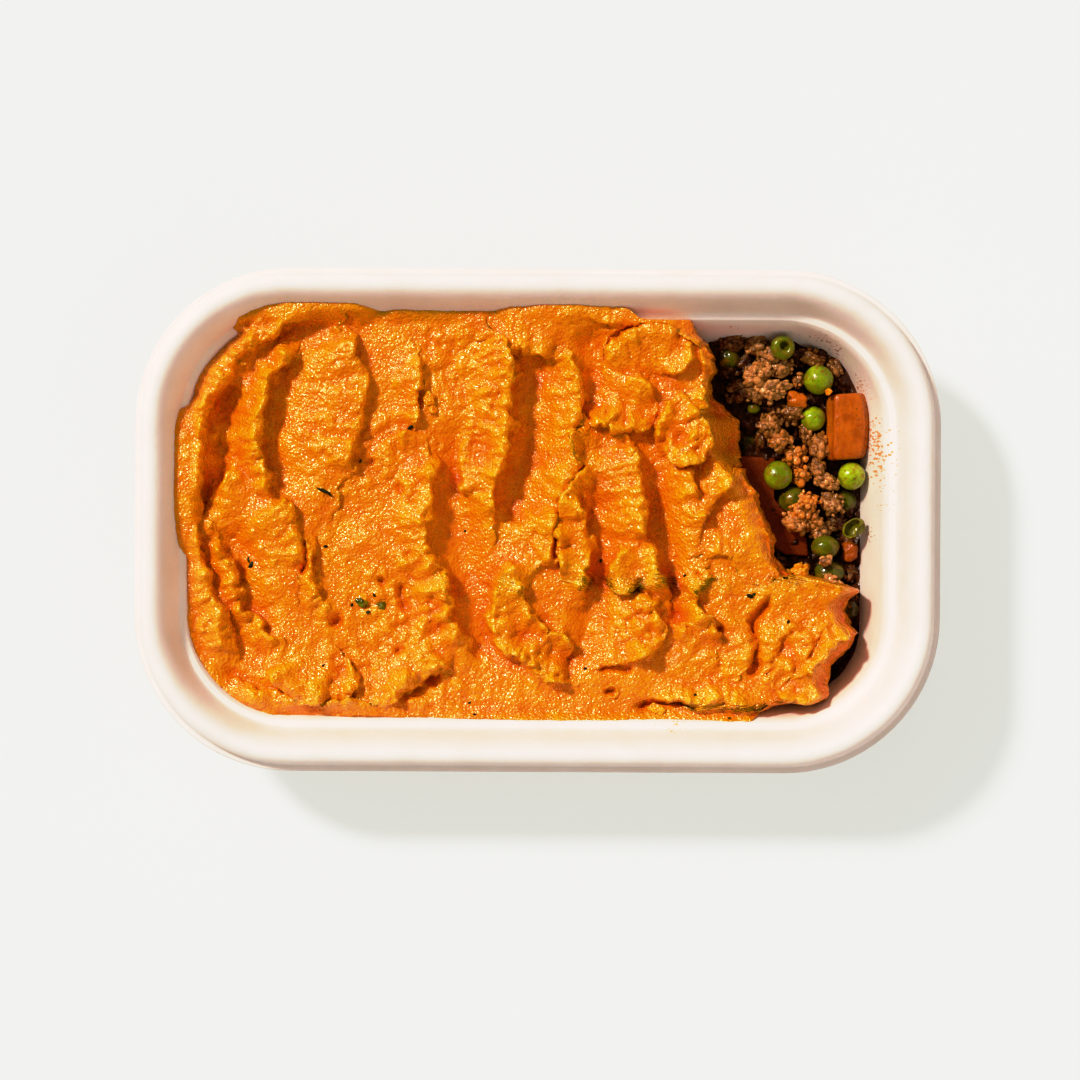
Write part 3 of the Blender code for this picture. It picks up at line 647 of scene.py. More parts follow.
def mash_outline(part_x, part_y):
    """Plan position of the mash for two parts from 0 to 1: left to right and front to back.

    Rows run from the left wall to the free edge and are stacked from the front wall to the back
    wall. The walls are met at the heights in the tables.
    """
    nominal = -99 + 160 * part_x
    back = along(BACK_HEIGHTS, nominal)
    front = along(FRONT_HEIGHTS, nominal)
    y_back = HALF_WIDTH - wall_inset(back) + EDGE_HIDE
    y_front = -(HALF_WIDTH - wall_inset(front) + EDGE_HIDE)
    y = y_front + (y_back - y_front) * part_y
    left = along(LEFT_HEIGHTS, y)
    inset = wall_inset(left) - EDGE_HIDE
    x_left = -half_length_at(np.clip(y, -(HALF_WIDTH - inset), HALF_WIDTH - inset), inset)
    x_right = (along(FREE_EDGE, y) + 0.5 * lattice(flat_points(0 * y, y), 2.2, 61)
               + 0.35 * lattice(flat_points(0 * y, y), 1.1, 63))
    return x_left + (x_right - x_left) * part_x, y


def build_mash():
    """The mash: a swept top, its skirt down the walls and the free edge, and a flat underside."""
    part_x = np.linspace(0, 1, MASH_COLUMNS)[None, :] * np.ones((MASH_ROWS, 1))
    part_y = np.linspace(0, 1, MASH_ROWS)[:, None] * np.ones((1, MASH_COLUMNS))
    x, y = mash_outline(part_x, part_y)
    points = flat_points(x, y)

    ridges, lean = mash_ridges(x, y)
    hollows = mash_hollows(x, y)
    base = MASH_LEVEL + MASH_TILT * y
    torn = np.clip(0.5 + 0.9 * lattice(points, 11.0, 95), 0, 1) * 0.45
    for middle_x, middle_y, reach in TORN_PATCHES:
        torn = np.maximum(torn, ease(1.25 - np.hypot(x - middle_x, y - middle_y) / reach))
    lumps = (0.95 * torn * blobs(points, 4.2, 71) + 0.48 * (0.2 + torn) * blobs(points, 2.1, 81)
             + 0.19 * lattice(points, 1.25, 83))
    coarse = 0.9 * lattice(points, 13.0, 91) + 0.6 * lattice(points, 6.5, 93)
    crest = ease(ridges / 4)
    height = base + ridges - 0.72 * hollows + coarse + lumps * (0.8 + 0.6 * crest)

    positions, falls, widths = zip(*sorted(EDGE_FALLS))
    from_edge = along(FREE_EDGE, y) - x
    width = np.interp(y, positions, widths)
    fall = np.interp(y, positions, falls)
    height -= fall * (1 - ease(from_edge / width)) * (from_edge < width)
    height = np.minimum(height, MASH_CEILING)

    from_back = y.max(axis=0)[None, :] - y
    from_front = y - y.min(axis=0)[None, :]
    from_left = x - x[:, :1]
    climb = along(BACK_CLIMB, x)
    for wall, away, hold, width in ((along(BACK_HEIGHTS, x), from_back, 1.5, climb),
                                    (along(FRONT_HEIGHTS, x), from_front, 0.0, 3.2),
                                    (along(LEFT_HEIGHTS, y), from_left, 3.0, 3.2)):
        hold = hold * ease((wall - 31) / 4)
        share = ease(1 - (away - hold) / width)
        height = height * (1 - share) + (wall + 0.8 * lumps) * share
    inner = ease(np.minimum(np.minimum(from_back, from_front), from_left) / 3)
    x = x + lean[..., 0] * inner
    y = y + lean[..., 1] * inner
    top = flat_points(x, y, height)

    on_free_edge = perimeter_parts(part_x) == 1

    def side(rim, level, down):
        """The rim carried down inside the walls' sheet, or down the lumpy free edge."""
        return skirt_ring(rim, level, down, on_free_edge)

    item = block("mash_swept", top, MASH_BOTTOM, SKIRT_ROWS, side)
    first = MASH_ROWS * MASH_COLUMNS

    # Painted shade: standing is how far each point stands above its smoothed surroundings; the mash
    # material turns it darker red in hollows and yellower on crests. The sides get a middling value.
    smooth = height.copy()
    for axis in (0, 1):
        for size in (9, 9, 9):
            smooth = box_mean(smooth, size, axis)
    hollow = np.clip(0.5 + (height - smooth) / 8, 0, 1)
    values = np.full(len(item.data.vertices), 0.4)
    values[:first] = hollow.ravel()
    add_values(item, "standing", values)
    finish_piece(item, mash_material(), "mash", "mash")

    def mash_top(at_x, at_y):
        """Height of the mash at a place: that of the nearest point of its top."""
        return height.ravel()[np.argmin((x - at_x) ** 2 + (y - at_y) ** 2)]

    return mash_top


def box_mean(values, size, axis):
    """A running mean along an axis, the ends repeated."""
    half = size // 2
    pad = [(0, 0), (0, 0)]
    pad[axis] = (half + 1, half)
    total = np.cumsum(np.pad(values, pad, mode="edge"), axis=axis)
    high = np.take(total, np.arange(size, total.shape[axis]), axis=axis)
    low = np.take(total, np.arange(0, total.shape[axis] - size), axis=axis)
    return (high - low) / size


def perimeter(rows, columns):
    """The outer points of a grid in order, once round."""
    index = np.arange(rows * columns).reshape(rows, columns)
    return np.concatenate([index[0, :-1], index[:-1, -1], index[-1, :0:-1], index[:0:-1, 0]])


def perimeter_parts(part):
    """The values of a grid at its outer points, once round."""
    return part.ravel()[perimeter(*part.shape)]


def block(name, top, bottom, side_rows, side):
    """A closed block: a top grid, sides worked out ring by ring, and a flat underside.

    Whatever lies past the tray's wall is brought back into the wall's sheet.
    side(rim, level, down) places a ring for each rim point's level at a part of the way down.
    """
    rows, columns = top.shape[:2]
    rim_index = perimeter(rows, columns)
    flat_top = top.reshape(-1, 3)
    rim = flat_top[rim_index]
    rings = [flat_top]
    for row in range(1, side_rows + 1):
        down = row / side_rows
        rings.append(side(rim, rim[:, 2] + (bottom - rim[:, 2]) * down, down))
    count = len(rim_index)
    first = len(flat_top)
    around = np.arange(count)
    faces = grid_faces(rows, columns)
    faces += np.stack([rim_index, np.roll(rim_index, -1), np.roll(around, -1) + first,
                       around + first], axis=1).tolist()
    faces += grid_faces(side_rows, count, closed=True, start=first)
    last = first + (side_rows - 1) * count
    faces.append(list(range(last, last + count)))
    return new_mesh(name, held_by_wall(np.concatenate(rings)), faces)


def skirt_ring(rim, level, down, on_free_edge):
    """One loop of the mash's side: inside the wall's sheet, or down the lumpy free edge."""
    inset = wall_inset(np.clip(level, MASH_BOTTOM, None)) - EDGE_HIDE
    y = np.clip(rim[:, 1], inset - HALF_WIDTH, HALF_WIDTH - inset)
    bound = half_length_at(y, inset)
    x = np.clip(rim[:, 0], -bound, bound)
    lumps = roughness_field(np.stack([x, y, level], axis=1), 3.4, 3, 101)
    bulge = (0.9 * math.sin(down * math.pi) + 1.1 * down + 0.9 * lumps) * on_free_edge
    return np.stack([x + bulge, y, level], axis=1)


def mash_material():
    """Sweet potato mash: orange flesh with painted shade, redder and darker in its hollows and yellower
    on its crests, wet grain and small glints.
    """
    flesh = Recipe("sweet_potato_mash", Subsurface_Weight=0.5, Subsurface_Scale=0.0016,
                   Subsurface_Radius=(1.0, 0.6, 0.25), Specular_IOR_Level=0.3,
                   Coat_Weight=1.0, Coat_Roughness=0.18, Coat_IOR=1.7)
    standing = flesh.value("standing")
    patch = flesh.noise(7, 4)
    # Painted shade: the ramp along standing runs from deep red where the mash lies low to yellow where
    # it stands high, with random patches of tone added.
    tone = flesh.sums("ADD", standing, flesh.span(patch, 0.25, 0.75, -0.16, 0.16))
    colour = flesh.ramp(tone, [(0.12, (0.80, 0.17, 0.001)), (0.36, (0.86, 0.285, 0.002)),
                               (0.56, (0.89, 0.365, 0.002)), (0.85, (0.92, 0.44, 0.004))])
    flesh.rough(flesh.span(flesh.noise(2.2, 2), 0.35, 0.65, 0.3, 0.5))
    grain = flesh.span(flesh.cells(0.85), 0.0, 0.75, 1.0, 0.0)
    flesh.relief((flesh.noise(1.5, 3), 0.40), (grain, 0.28))
    flesh.relief((flesh.noise(0.6, 1), 0.30), (grain, 0.20), socket="Coat Normal")
    return flesh.colour(colour)


# ---------------------------------------------------------------- mince, gravy, peas and carrots

GRAVY_LEVEL = 12.5
GRAVY_TILT = 0.07
GRAVY_UNDER_MASH = 14.8
GRAVY_HIDE = 0.75
GRAVY_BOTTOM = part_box("filling")[0][2] / MM
# How high the gravy meets the wall at the open end: (y, height).
GRAVY_WALL = [(-60, 14.0), (30, 13.5), (40, 15.0), (48, 19.0), (51.9, 22.0)]

# Lumps of mince: middle x and y, top, half sizes along x, y and z, turn in degrees, tone, glaze.
LUMPS = [
    (54.3, 50.7, 21.5, 4.3, 3.4, 3.6, 20, 0.30, 0.0), (60.6, 49.2, 22.0, 3.6, 3.2, 3.6, 10, 0.55, 0.0),
    (64.3, 46.0, 22.6, 3.4, 3.0, 3.6, -20, 0.60, 0.1), (67.9, 43.0, 21.8, 3.6, 2.7, 3.2, 15, 0.60, 0.1),
    (61.0, 40.8, 24.2, 4.4, 3.6, 4.6, 40, 0.85, 0.15), (65.4, 37.0, 23.6, 4.8, 3.4, 4.4, 10, 0.90, 0.1),
    (60.8, 35.9, 20.6, 3.2, 2.6, 3.2, 0, 0.50, 0.0), (56.3, 36.5, 19.2, 3.6, 3.6, 4.0, 0, 0.28, 0.0),
    (53.6, 42.6, 18.0, 3.6, 3.6, 4.0, 0, 0.12, 0.0), (58.2, 44.6, 18.6, 3.2, 2.6, 3.2, 60, 0.15, 0.0),
    (73.2, 39.8, 19.2, 2.6, 2.0, 2.6, 30, 0.50, 0.45), (76.2, 45.8, 19.4, 3.6, 2.4, 3.0, -25, 0.40, 0.2),
    (72.6, 45.6, 17.6, 3.0, 2.6, 3.0, 0, 0.12, 0.1), (83.0, 43.4, 18.6, 2.2, 3.0, 3.0, 30, 0.40, 0.1),
    (84.4, 39.0, 16.6, 2.0, 3.0, 3.0, 10, 0.22, 0.0), (71.0, 30.6, 20.2, 4.2, 3.0, 3.6, 20, 0.35, 0.1),
    (66.4, 32.4, 18.6, 3.2, 2.6, 3.0, 0, 0.18, 0.0), (64.8, 27.0, 22.2, 3.4, 3.6, 4.2, 30, 0.60, 0.15),
    (67.2, 22.8, 22.4, 3.6, 3.4, 4.4, -20, 0.62, 0.35), (62.4, 22.4, 18.6, 1.9, 2.2, 2.6, 0, 0.35, 0.0),
    (71.6, 18.4, 21.2, 3.5, 3.3, 4.0, 0, 0.65, 0.65), (78.2, 21.0, 20.6, 2.9, 4.0, 3.6, 0, 0.55, 0.25),
    (78.0, 15.4, 20.0, 2.7, 2.8, 3.2, 30, 0.55, 0.25), (74.6, 24.6, 19.0, 1.6, 3.0, 2.6, 20, 0.5, 0.3),
    (73.2, 13.0, 20.2, 3.0, 3.0, 3.8, 0, 0.60, 0.80), (80.6, 11.4, 20.0, 3.8, 2.5, 3.2, -20, 0.85, 0.1),
    (74.2, 4.6, 22.4, 4.4, 3.7, 4.6, 30, 0.70, 0.75), (72.0, 0.0, 21.0, 3.6, 3.0, 3.8, -10, 0.75, 0.35),
    (77.2, 0.6, 20.2, 3.0, 3.2, 3.6, 0, 0.65, 0.30), (82.2, 5.2, 19.2, 3.2, 3.6, 3.6, 20, 0.60, 0.05),
    (79.6, -2.6, 18.4, 2.9, 2.4, 3.0, 20, 0.55, 0.05), (83.6, 0.0, 16.6, 2.8, 2.6, 3.0, 0, 0.22, 0.0),
    (67.9, -11.2, 14.2, 4.6, 2.4, 2.6, -25, 0.10, 0.0), (72.8, -13.2, 13.6, 3.0, 2.0, 2.4, 0, 0.12, 0.0),
    (79.9, -10.9, 21.6, 1.5, 1.1, 1.2, 20, 0.85, 0.1), (81.6, -16.2, 20.2, 1.5, 1.3, 1.3, 0, 0.80, 0.1),
    (83.8, -17.4, 19.4, 1.4, 1.1, 1.2, 0, 0.75, 0.1), (86.2, -5.0, 14.8, 2.6, 3.2, 3.0, 0, 0.10, 0.15),
    (87.2, -14.0, 14.6, 2.3, 3.6, 3.0, 0, 0.10, 0.15), (88.2, -21.0, 14.8, 2.0, 3.0, 3.0, 0, 0.15, 0.2),
    (66.0, -6.8, 12.6, 3.2, 2.0, 2.2, 20, 0.08, 0.0), (75.2, 33.8, 16.6, 2.6, 2.2, 2.6, 0, 0.10, 0.0),
    (79.0, 46.6, 17.6, 2.6, 2.0, 2.6, 0, 0.15, 0.0), (87.4, 4.0, 15.0, 2.0, 3.2, 3.0, 0, 0.12, 0.0),
]
# Peas: middle, half sizes, and a tone from 0 to 1: partly each pea's own lime or olive colour, partly
# painted shade that darkens the peas lying deep in shadow.
PEAS = [
    ((78.0, 39.6, 19.5), (4.1, 4.1, 3.9), 0.85), ((76.8, 28.8, 17.5), (3.5, 3.45, 3.3), 0.9),
    ((66.9, 13.0, 19.3), (3.95, 4.1, 3.8), 0.80), ((87.4, 12.8, 19.2), (3.95, 3.85, 3.7), 1.0),
    ((53.2, 45.6, 16.6), (3.2, 3.2, 3.0), 0.25), ((58.9, 22.0, 11.8), (3.0, 3.0, 2.8), 0.1),
    ((71.3, 6.2, 17.0), (3.9, 3.8, 3.6), 0.35), ((86.0, 6.0, 13.4), (3.4, 3.3, 3.2), 0.4),
    ((80.3, -6.9, 17.5), (4.0, 3.3, 3.4), 0.42), ((81.6, -14.0, 15.6), (4.3, 3.4, 3.5), 0.38),
    ((87.2, -24.3, 17.2), (2.6, 2.5, 2.4), 0.2), ((60.3, 31.8, 15.8), (1.9, 1.6, 1.6), 0.6),
]
HOLLOW_PEA_STEPS = 56
SKIN_ROWS, SKIN_STEPS, SKIN_THICKNESS = 26, 64, 0.3
PEAS_IN_MASH = [(-48.1, -22.6, 1.7), (-43.1, -23.6, 1.8)]
SLAB_OUTLINE = [(55, 18.6), (66.5, 17.9), (66.2, 6.5), (75.6, -4.6), (76, -9.6), (69.5, -9.2),
                (63.5, -5.2), (58, 5)]


def joined(name, parts, **values):
    """One mesh from parts of (points, faces), with numbers by name for each part's points."""
    faces = []
    start = 0
    for points, part_faces in parts:
        faces += [[index + start for index in face] for face in part_faces]
        start += len(points)
    item = new_mesh(name, np.concatenate([points for points, part_faces in parts]), faces)
    for label, lists in values.items():
        add_values(item, label, np.concatenate(lists))
    return item


def globe(rows, columns):
    """Directions over a ball and the faces between them: rings between two poles."""
    polar = math.pi * np.arange(1, rows + 1)[:, None] / (rows + 1)
    turn = 2 * math.pi * np.arange(columns)[None, :] / columns
    ring = np.stack([np.sin(polar) * np.cos(turn), np.sin(polar) * np.sin(turn),
                     np.cos(polar) + 0 * turn], axis=-1)
    directions = np.concatenate([ring.reshape(-1, 3), [[0, 0, 1], [0, 0, -1]]])
    first = np.arange(columns)
    last = first + (rows - 1) * columns
    top = np.stack([first, np.roll(first, -1), np.full(columns, rows * columns)], axis=1)
    low = np.stack([np.roll(last, -1), last, np.full(columns, rows * columns + 1)], axis=1)
    return directions, grid_faces(rows, columns, closed=True) + top.tolist() + low.tolist()


def turned(points, degrees):
    """Points turned about the upright axis."""
    angle = math.radians(degrees)
    turn = np.array([[math.cos(angle), math.sin(angle), 0],
                     [-math.sin(angle), math.cos(angle), 0], [0, 0, 1]])
    return points @ turn


def crumbly(generator, radii, spacing, grain_low, grain_high):
    """A lump of granules: in each direction, the furthest reach of a bundle of small balls.

    Returns points round the origin, faces, each point's random tone, and how far it stands out of
    the creases, from 0 where two balls meet to 1.
    """
    radii = np.array(radii, dtype=float)
    size = radii.mean()
    rows = max(9, int(math.pi * size / spacing))
    directions, faces = globe(rows, 2 * rows)
    count = int(13 * (size / (0.5 * (grain_low + grain_high))) ** 1.7) + 8
    toward = generator.normal(size=(count, 3))
    toward /= np.linalg.norm(toward, axis=1)[:, None]
    grain = grain_low + (grain_high - grain_low) * generator.uniform(0, 1, count) ** 1.6
    far = size * generator.uniform(0.55, 1.02, count) - 0.75 * grain
    middles = toward * far[:, None]
    along_ray = directions @ middles.T
    inside = grain ** 2 - far ** 2 + along_ray ** 2
    reach = np.where((inside > 0) & (along_ray > 0), along_ray + np.sqrt(np.abs(inside)), 0)
    reach = np.maximum(reach, 0.60 * size)
    order = np.sort(reach, axis=1)
    best = order[:, -1]
    stand = np.clip((best - order[:, -2]) / 0.30, 0, 1)
    number = np.argmax(reach, axis=1)
    tone = generator.uniform(0, 1, count)[number]
    best = best * (1 + 0.20 * lattice(directions + 9.0 * far[0], 0.7, 303))
    points = directions * best[:, None]
    points += directions * (0.26 * roughness_field(points + 9.0 * far[0], 1.3, 3, 301))[:, None]
    return points * (radii / size), faces, tone, stand


def build_gravy():
    """The mince and gravy under everything: sunken granules in a dark pool, closed below.

    Height is the pool's level plus rounded granules; near the wall it rises by a smooth step to
    the height at which it meets the wall, and under the mash it stays just below the mash.
    """
    part_x = np.concatenate([np.linspace(0, 0.70, 30), np.linspace(0.70, 1, 150)[1:]])
    rows, columns = 210, len(part_x)
    part_x = part_x[None, :] * np.ones((rows, 1))
    part_y = np.linspace(0, 1, rows)[:, None] * np.ones((1, columns))
    y_front = -(HALF_WIDTH - wall_inset(GRAVY_WALL[0][1]) + GRAVY_HIDE)
    y_back = HALF_WIDTH - wall_inset(GRAVY_WALL[-1][1]) + GRAVY_HIDE
    y = y_front + (y_back - y_front) * part_y
    meets = along(GRAVY_WALL, y)
    half_x = half_length_at(y, wall_inset(meets) - GRAVY_HIDE)
    x = half_x * (2 * part_x - 1)
    points = flat_points(x, y)
    height = GRAVY_LEVEL + GRAVY_TILT * np.clip(y, 0, None)
    height += 1.3 * blobs(points, 3.4, 201) + 0.6 * blobs(points, 1.6, 203)
    height += 0.2 * lattice(points, 0.8, 205)
    from_wall = np.minimum(half_x - x, y_back - y)
    share = ease(1 - from_wall / 3.5)
    height = height * (1 - share) + meets * share
    covered = x < along(FREE_EDGE, y) - 1.0
    height = np.where(covered, np.minimum(height, GRAVY_UNDER_MASH), height)

    def side(rim, level, down):
        """The rim carried down inside the wall's sheet."""
        bound = wall_inset(np.clip(level, GRAVY_BOTTOM, None)) - GRAVY_HIDE
        y_side = np.clip(rim[:, 1], bound - HALF_WIDTH, HALF_WIDTH - bound)
        half = half_length_at(y_side, bound)
        return np.stack([np.clip(rim[:, 0], -half, half), y_side, level], axis=1)

    top = flat_points(x, y, height)
    top = side(top.reshape(-1, 3), height.reshape(-1), 0).reshape(top.shape)
    item = block("mince_gravy", top, GRAVY_BOTTOM, 10, side)
    return finish_piece(item, gravy_material(), "mince", "filling")


def build_lumps():
    """Lumps of mince, each of hundreds of granules, and loose crumbs lying between them."""
    generator = np.random.default_rng(41)
    parts, tones, stands, glazes = [], [], [], []
    for x, y, top, long, wide, high, turn, tone, glaze in LUMPS:
        points, faces, grain_tone, stand = crumbly(generator, (long, wide, high), 0.35, 0.4, 1.5)
        points = turned(points, turn) + np.array([x, y, top - 0.93 * high])
        parts.append((held_by_wall(points), faces))
        tones.append(np.clip(tone + 0.30 * (grain_tone - 0.5), 0, 1))
        # stand is the mask of the painted shade that darkens the creases between granules.
        stands.append(stand)
        glazes.append(np.full(len(points), glaze))
    item = joined("mince_lumps", parts, tone=tones, standing=stands, glaze=glazes)
    material = mince_material()
    finish_piece(item, material, "mince")

    parts, tones, stands, glazes = [], [], [], []
    directions, faces = globe(5, 9)
    for x, y, top, long, wide, high, turn, tone, glaze in LUMPS:
        for _ in range(int(4 + 2.2 * long)):
            toward = generator.normal(size=3)
            toward[2] = abs(toward[2]) - 0.4
            toward /= np.linalg.norm(toward)
            reach = toward * np.array([long, wide, high]) * generator.uniform(0.9, 1.15)
            sizes = generator.uniform(0.35, 1.0) * generator.uniform(0.6, 1.3, 3)
            crumb = directions * sizes * generator.uniform(0.75, 1.2, (len(directions), 1))
            place = turned(reach, turn) + np.array([x, y, top - 0.93 * high])
            place = held_by_wall(place, -0.8 * np.max(sizes))
            parts.append((held_by_wall(crumb + place), faces))
            tones.append(np.full(len(crumb), np.clip(tone + generator.uniform(-0.2, 0.2), 0, 1)))
            stands.append(np.ones(len(crumb)))
            glazes.append(np.full(len(crumb), glaze))
    crumbs = joined("mince_crumbs", parts, tone=tones, standing=stands, glaze=glazes)
    return finish_piece(crumbs, material, "mince")


def pea_points(generator, radii, rows=30):
    """A pea: a ball with two soft flats, fine wrinkles and the small eye where it grew."""
    directions, faces = globe(rows, 2 * rows - 12)
    seed = int(generator.integers(1000))
    reach = 1 + 0.035 * lattice(directions + seed, 0.9, 311)
    reach += 0.010 * roughness_field(directions + seed, 0.30, 2, 313)
    for depth, width in ((0.10, 0.10), (0.05, 0.03)):
        toward = generator.normal(size=3)
        toward /= np.linalg.norm(toward)
        reach -= depth * ease(1 - (1 - directions @ toward) / width)
    eye_place = generator.normal(size=3) * (0.6, 0.6, 0.2) + (0, 0, 1)
    eye_place /= np.linalg.norm(eye_place)
    away = (1 - directions @ eye_place) * 260
    reach -= 0.022 * np.exp(-away)
    return directions * reach[:, None] * radii, faces, np.exp(-(away - 0.6) ** 2)


def build_peas(mash_top):
    """Whole peas in the mince, and two broken ones pressed into the mash."""
    generator = np.random.default_rng(17)
    parts, tones, eyes = [], [], []
    for middle, radii, tone in PEAS:
        points, faces, eye = pea_points(generator, radii)
        parts.append((points + np.array(middle), faces))
        tones.append(np.full(len(points), tone))
        eyes.append(eye)
    whole = joined("peas", parts, tone=tones, eye=eyes)
    material = pea_material()
    nodes = ["pea_%d" % number for number in range(1, len(PEAS) + 1)]
    finish_piece(whole, material, "pea", *nodes)

    parts, tones, eyes = [], [], []
    for x, y, radius in PEAS_IN_MASH:
        points, faces, tone, _ = crumbly(generator, (radius,) * 3, 0.2, 0.5, 0.9)
        points = points + np.array([x, y, mash_top(x, y) - 0.55 * radius])
        parts.append((points, faces))
        tones.append(0.15 + 0.4 * tone)
        eyes.append(0 * tone)
    bits = joined("peas_in_mash", parts, tone=tones, eye=eyes)
    return finish_piece(bits, material, "pea", "pea_in_mash_1", "pea_in_mash_2")


def build_hollow_pea():
    """The hollow pea: a turned profile with a deep mouth, leaned to one side."""
    profile = smooth_route([(0.02, -0.9), (0.75, -0.7), (1.0, 0.4), (1.35, 1.25), (2.1, 1.7),
                            (2.95, 1.15), (3.45, -0.1), (3.1, -1.6), (1.9, -2.6), (0.02, -2.9)], 4)
    turn = 2 * math.pi * np.arange(HOLLOW_PEA_STEPS)[None, :] / HOLLOW_PEA_STEPS
    radius, height = profile[:, :1], profile[:, 1:]
    ring = np.stack([radius * np.cos(turn), radius * np.sin(turn), height + 0 * turn], axis=-1)
    mouth = ease(1 - radius / 2.6) * (height > -1.5)
    ring[..., 0] += 0.5 * mouth
    ring[..., 1] += 0.7 * mouth
    ring += 0.12 * lattice(ring, 1.6, 321)[..., None]
    ring = ring.reshape(-1, 3) + np.array([67.7, 48.3, 23.9])
    rows = len(profile)
    faces = grid_faces(rows, HOLLOW_PEA_STEPS, closed=True)
    faces.append(list(range(HOLLOW_PEA_STEPS)))
    faces.append(list(range((rows - 1) * HOLLOW_PEA_STEPS, rows * HOLLOW_PEA_STEPS)))
    hollow = joined("pea_hollowed", [(ring, faces)], tone=[np.full(len(ring), 0.55)],
                    eye=[np.zeros(len(ring))])
    return finish_piece(hollow, bpy.data.materials["cooked_pea"], "pea", "pea_hollow")


def build_pea_skin():
    """The empty skin: a bowl squeezed to a mouth, one lip folded in, given a thickness."""
    part = np.linspace(0, 1, SKIN_ROWS)[:, None]
    turn = 2 * math.pi * np.arange(SKIN_STEPS)[None, :] / SKIN_STEPS
    opening = 0.15 + 1.75 * part
    reach = np.sin(np.minimum(opening, 1.57)) * (1 - 0.25 * np.clip(opening - 1.57, 0, 1))
    fold = ease(0.5 - 0.5 * np.cos(turn - 2.4)) ** 3 * ease((part - 0.45) / 0.55)
    x = 3.5 * reach * np.cos(turn) * (1 - 0.75 * fold)
    y = 2.6 * reach * np.sin(turn) * (1 - 0.75 * fold)
    z = -2.0 * np.cos(opening) + 0.3 * np.sin(3 * turn) * part + 0.5 * fold
    sheet = np.stack([x, y, z], axis=-1)
    sheet += 0.15 * lattice(sheet, 1.3, 331)[..., None]
    sheet = turned(sheet.reshape(-1, 3), 28)
    sheet[:, 2] += 0.25 * sheet[:, 0]
    sheet += np.array([88.2, -1.7, 21.0])
    faces = grid_faces(SKIN_ROWS, SKIN_STEPS, closed=True)
    faces.append(list(range(SKIN_STEPS)))
    skin = joined("pea_skin_folded", [(sheet, faces)], tone=[np.full(len(sheet), 0.30)],
                  eye=[np.zeros(len(sheet))])
    thick = skin.modifiers.new("thickness", "SOLIDIFY")
    thick.thickness = SKIN_THICKNESS * MM
    thick.offset = 0
    return finish_piece(skin, skin_material(), "pea", "pea_skin")


def soft_box(half_sizes, power, rows=60):
    """A box with rounded edges: in each direction, one over the power norm of direction / size."""
    directions, faces = globe(rows, 2 * rows)
    norm = (np.abs(directions / np.array(half_sizes)) ** power).sum(axis=1) ** (1 / power)
    return directions / norm[:, None], faces


def build_carrot_baton():
    """Carrot baton by the right wall: a soft box, wider and bevelled at its foot, gently bent."""
    points, faces = soft_box((4.5, 9.2, 3.9), 11, 80)
    low = ease((3.4 - points[:, 2]) / 4.5)
    points[:, 0] *= 1 + 0.36 * low
    points[:, 2] -= 0.03 * (points[:, 0] + 1) ** 2 * ease(points[:, 2] / 3)
    points[:, 0] += 0.95 - 0.016 * points[:, 1] ** 2 * ease(points[:, 0] / 4)
    points[:, 1] += 0.07 * points[:, 0]
    points[:, 2] += 0.10 * lattice(points, 3.0, 341) + 0.05 * lattice(points, 0.9, 343)
    points = held_by_wall(points + np.array([85.6, 26.6, 18.5]))
    stick = joined("carrot_baton", [(points, faces)], steeped=[np.full(len(points), 0.15)])
    return finish_piece(stick, carrot_material(), "carrot", "carrot_stick")


def build_carrot_slice():
    """Flat slice of carrot that runs under the mash: a rounded outline carried down a profile."""
    corners = np.array(SLAB_OUTLINE + SLAB_OUTLINE[:1], dtype=float)
    steps = np.arange(20)[:, None] / 20
    outline = np.concatenate([first + (last - first) * steps
                              for first, last in zip(corners[:-1], corners[1:])])
    middle = np.array([64.0, 4.0])
    for _ in range(2):
        outline = (np.roll(outline, 1, axis=0) + 2 * outline + np.roll(outline, -1, axis=0)) / 4
    profile = [(0.01, 0.0)] + [(part / 24, 0.0) for part in range(1, 23)]
    profile += [(0.97, -0.05), (0.99, -0.30), (1.0, -0.8), (1.0, -3.5), (0.99, -6.2), (0.01, -6.8)]
    rings = []
    for part, fall in profile:
        ring = middle + (outline - middle) * part
        rings.append(flat_points(ring[:, 0], ring[:, 1], 14.8 + fall))
    slab = np.stack(rings)
    slab[..., 2] += (0.12 * lattice(slab, 2.5, 351) + 0.06 * lattice(slab, 0.8, 353)
                     + 0.05 * (slab[..., 1] - 4) * (slab[..., 2] > 10))
    slab[..., 2] = np.minimum(slab[..., 2], 15.6)
    count = len(outline)
    faces = grid_faces(len(profile), count, closed=True)
    faces.append(list(range(count)))
    faces.append(list(range((len(profile) - 1) * count, len(profile) * count)))
    # The whole slice is darkened: painted shade, for it lies in the shade of the mash, mince and peas.
    flat = joined("carrot_slice", [(slab.reshape(-1, 3), faces)],
                  steeped=[np.ones(slab.size // 3)])
    return finish_piece(flat, bpy.data.materials["cooked_carrot"], "carrot", "carrot_slab")


def build_carrot_dice():
    """Two small dice of carrot, their faces worn uneven."""
    parts = []
    for place, sizes, turn in (((87.3, -8.0, 15.0), (2.0, 2.6, 1.8), 8),
                               ((72.1, 34.2, 19.4), (2.5, 2.1, 1.9), -12)):
        points, faces = soft_box(sizes, 3.4, 40)
        points = points * (1.04 + 0.20 * roughness_field(points + place[0], 2.0, 4, 361))[:, None]
        parts.append((turned(points, turn) + np.array(place), faces))
    dice = joined("carrot_diced", parts, steeped=[np.full(len(parts[0][0]), 0.6),
                                                  np.zeros(len(parts[1][0]))])
    material = bpy.data.materials["cooked_carrot"]
    return finish_piece(dice, material, "carrot", "carrot_dice_1", "carrot_dice_2")


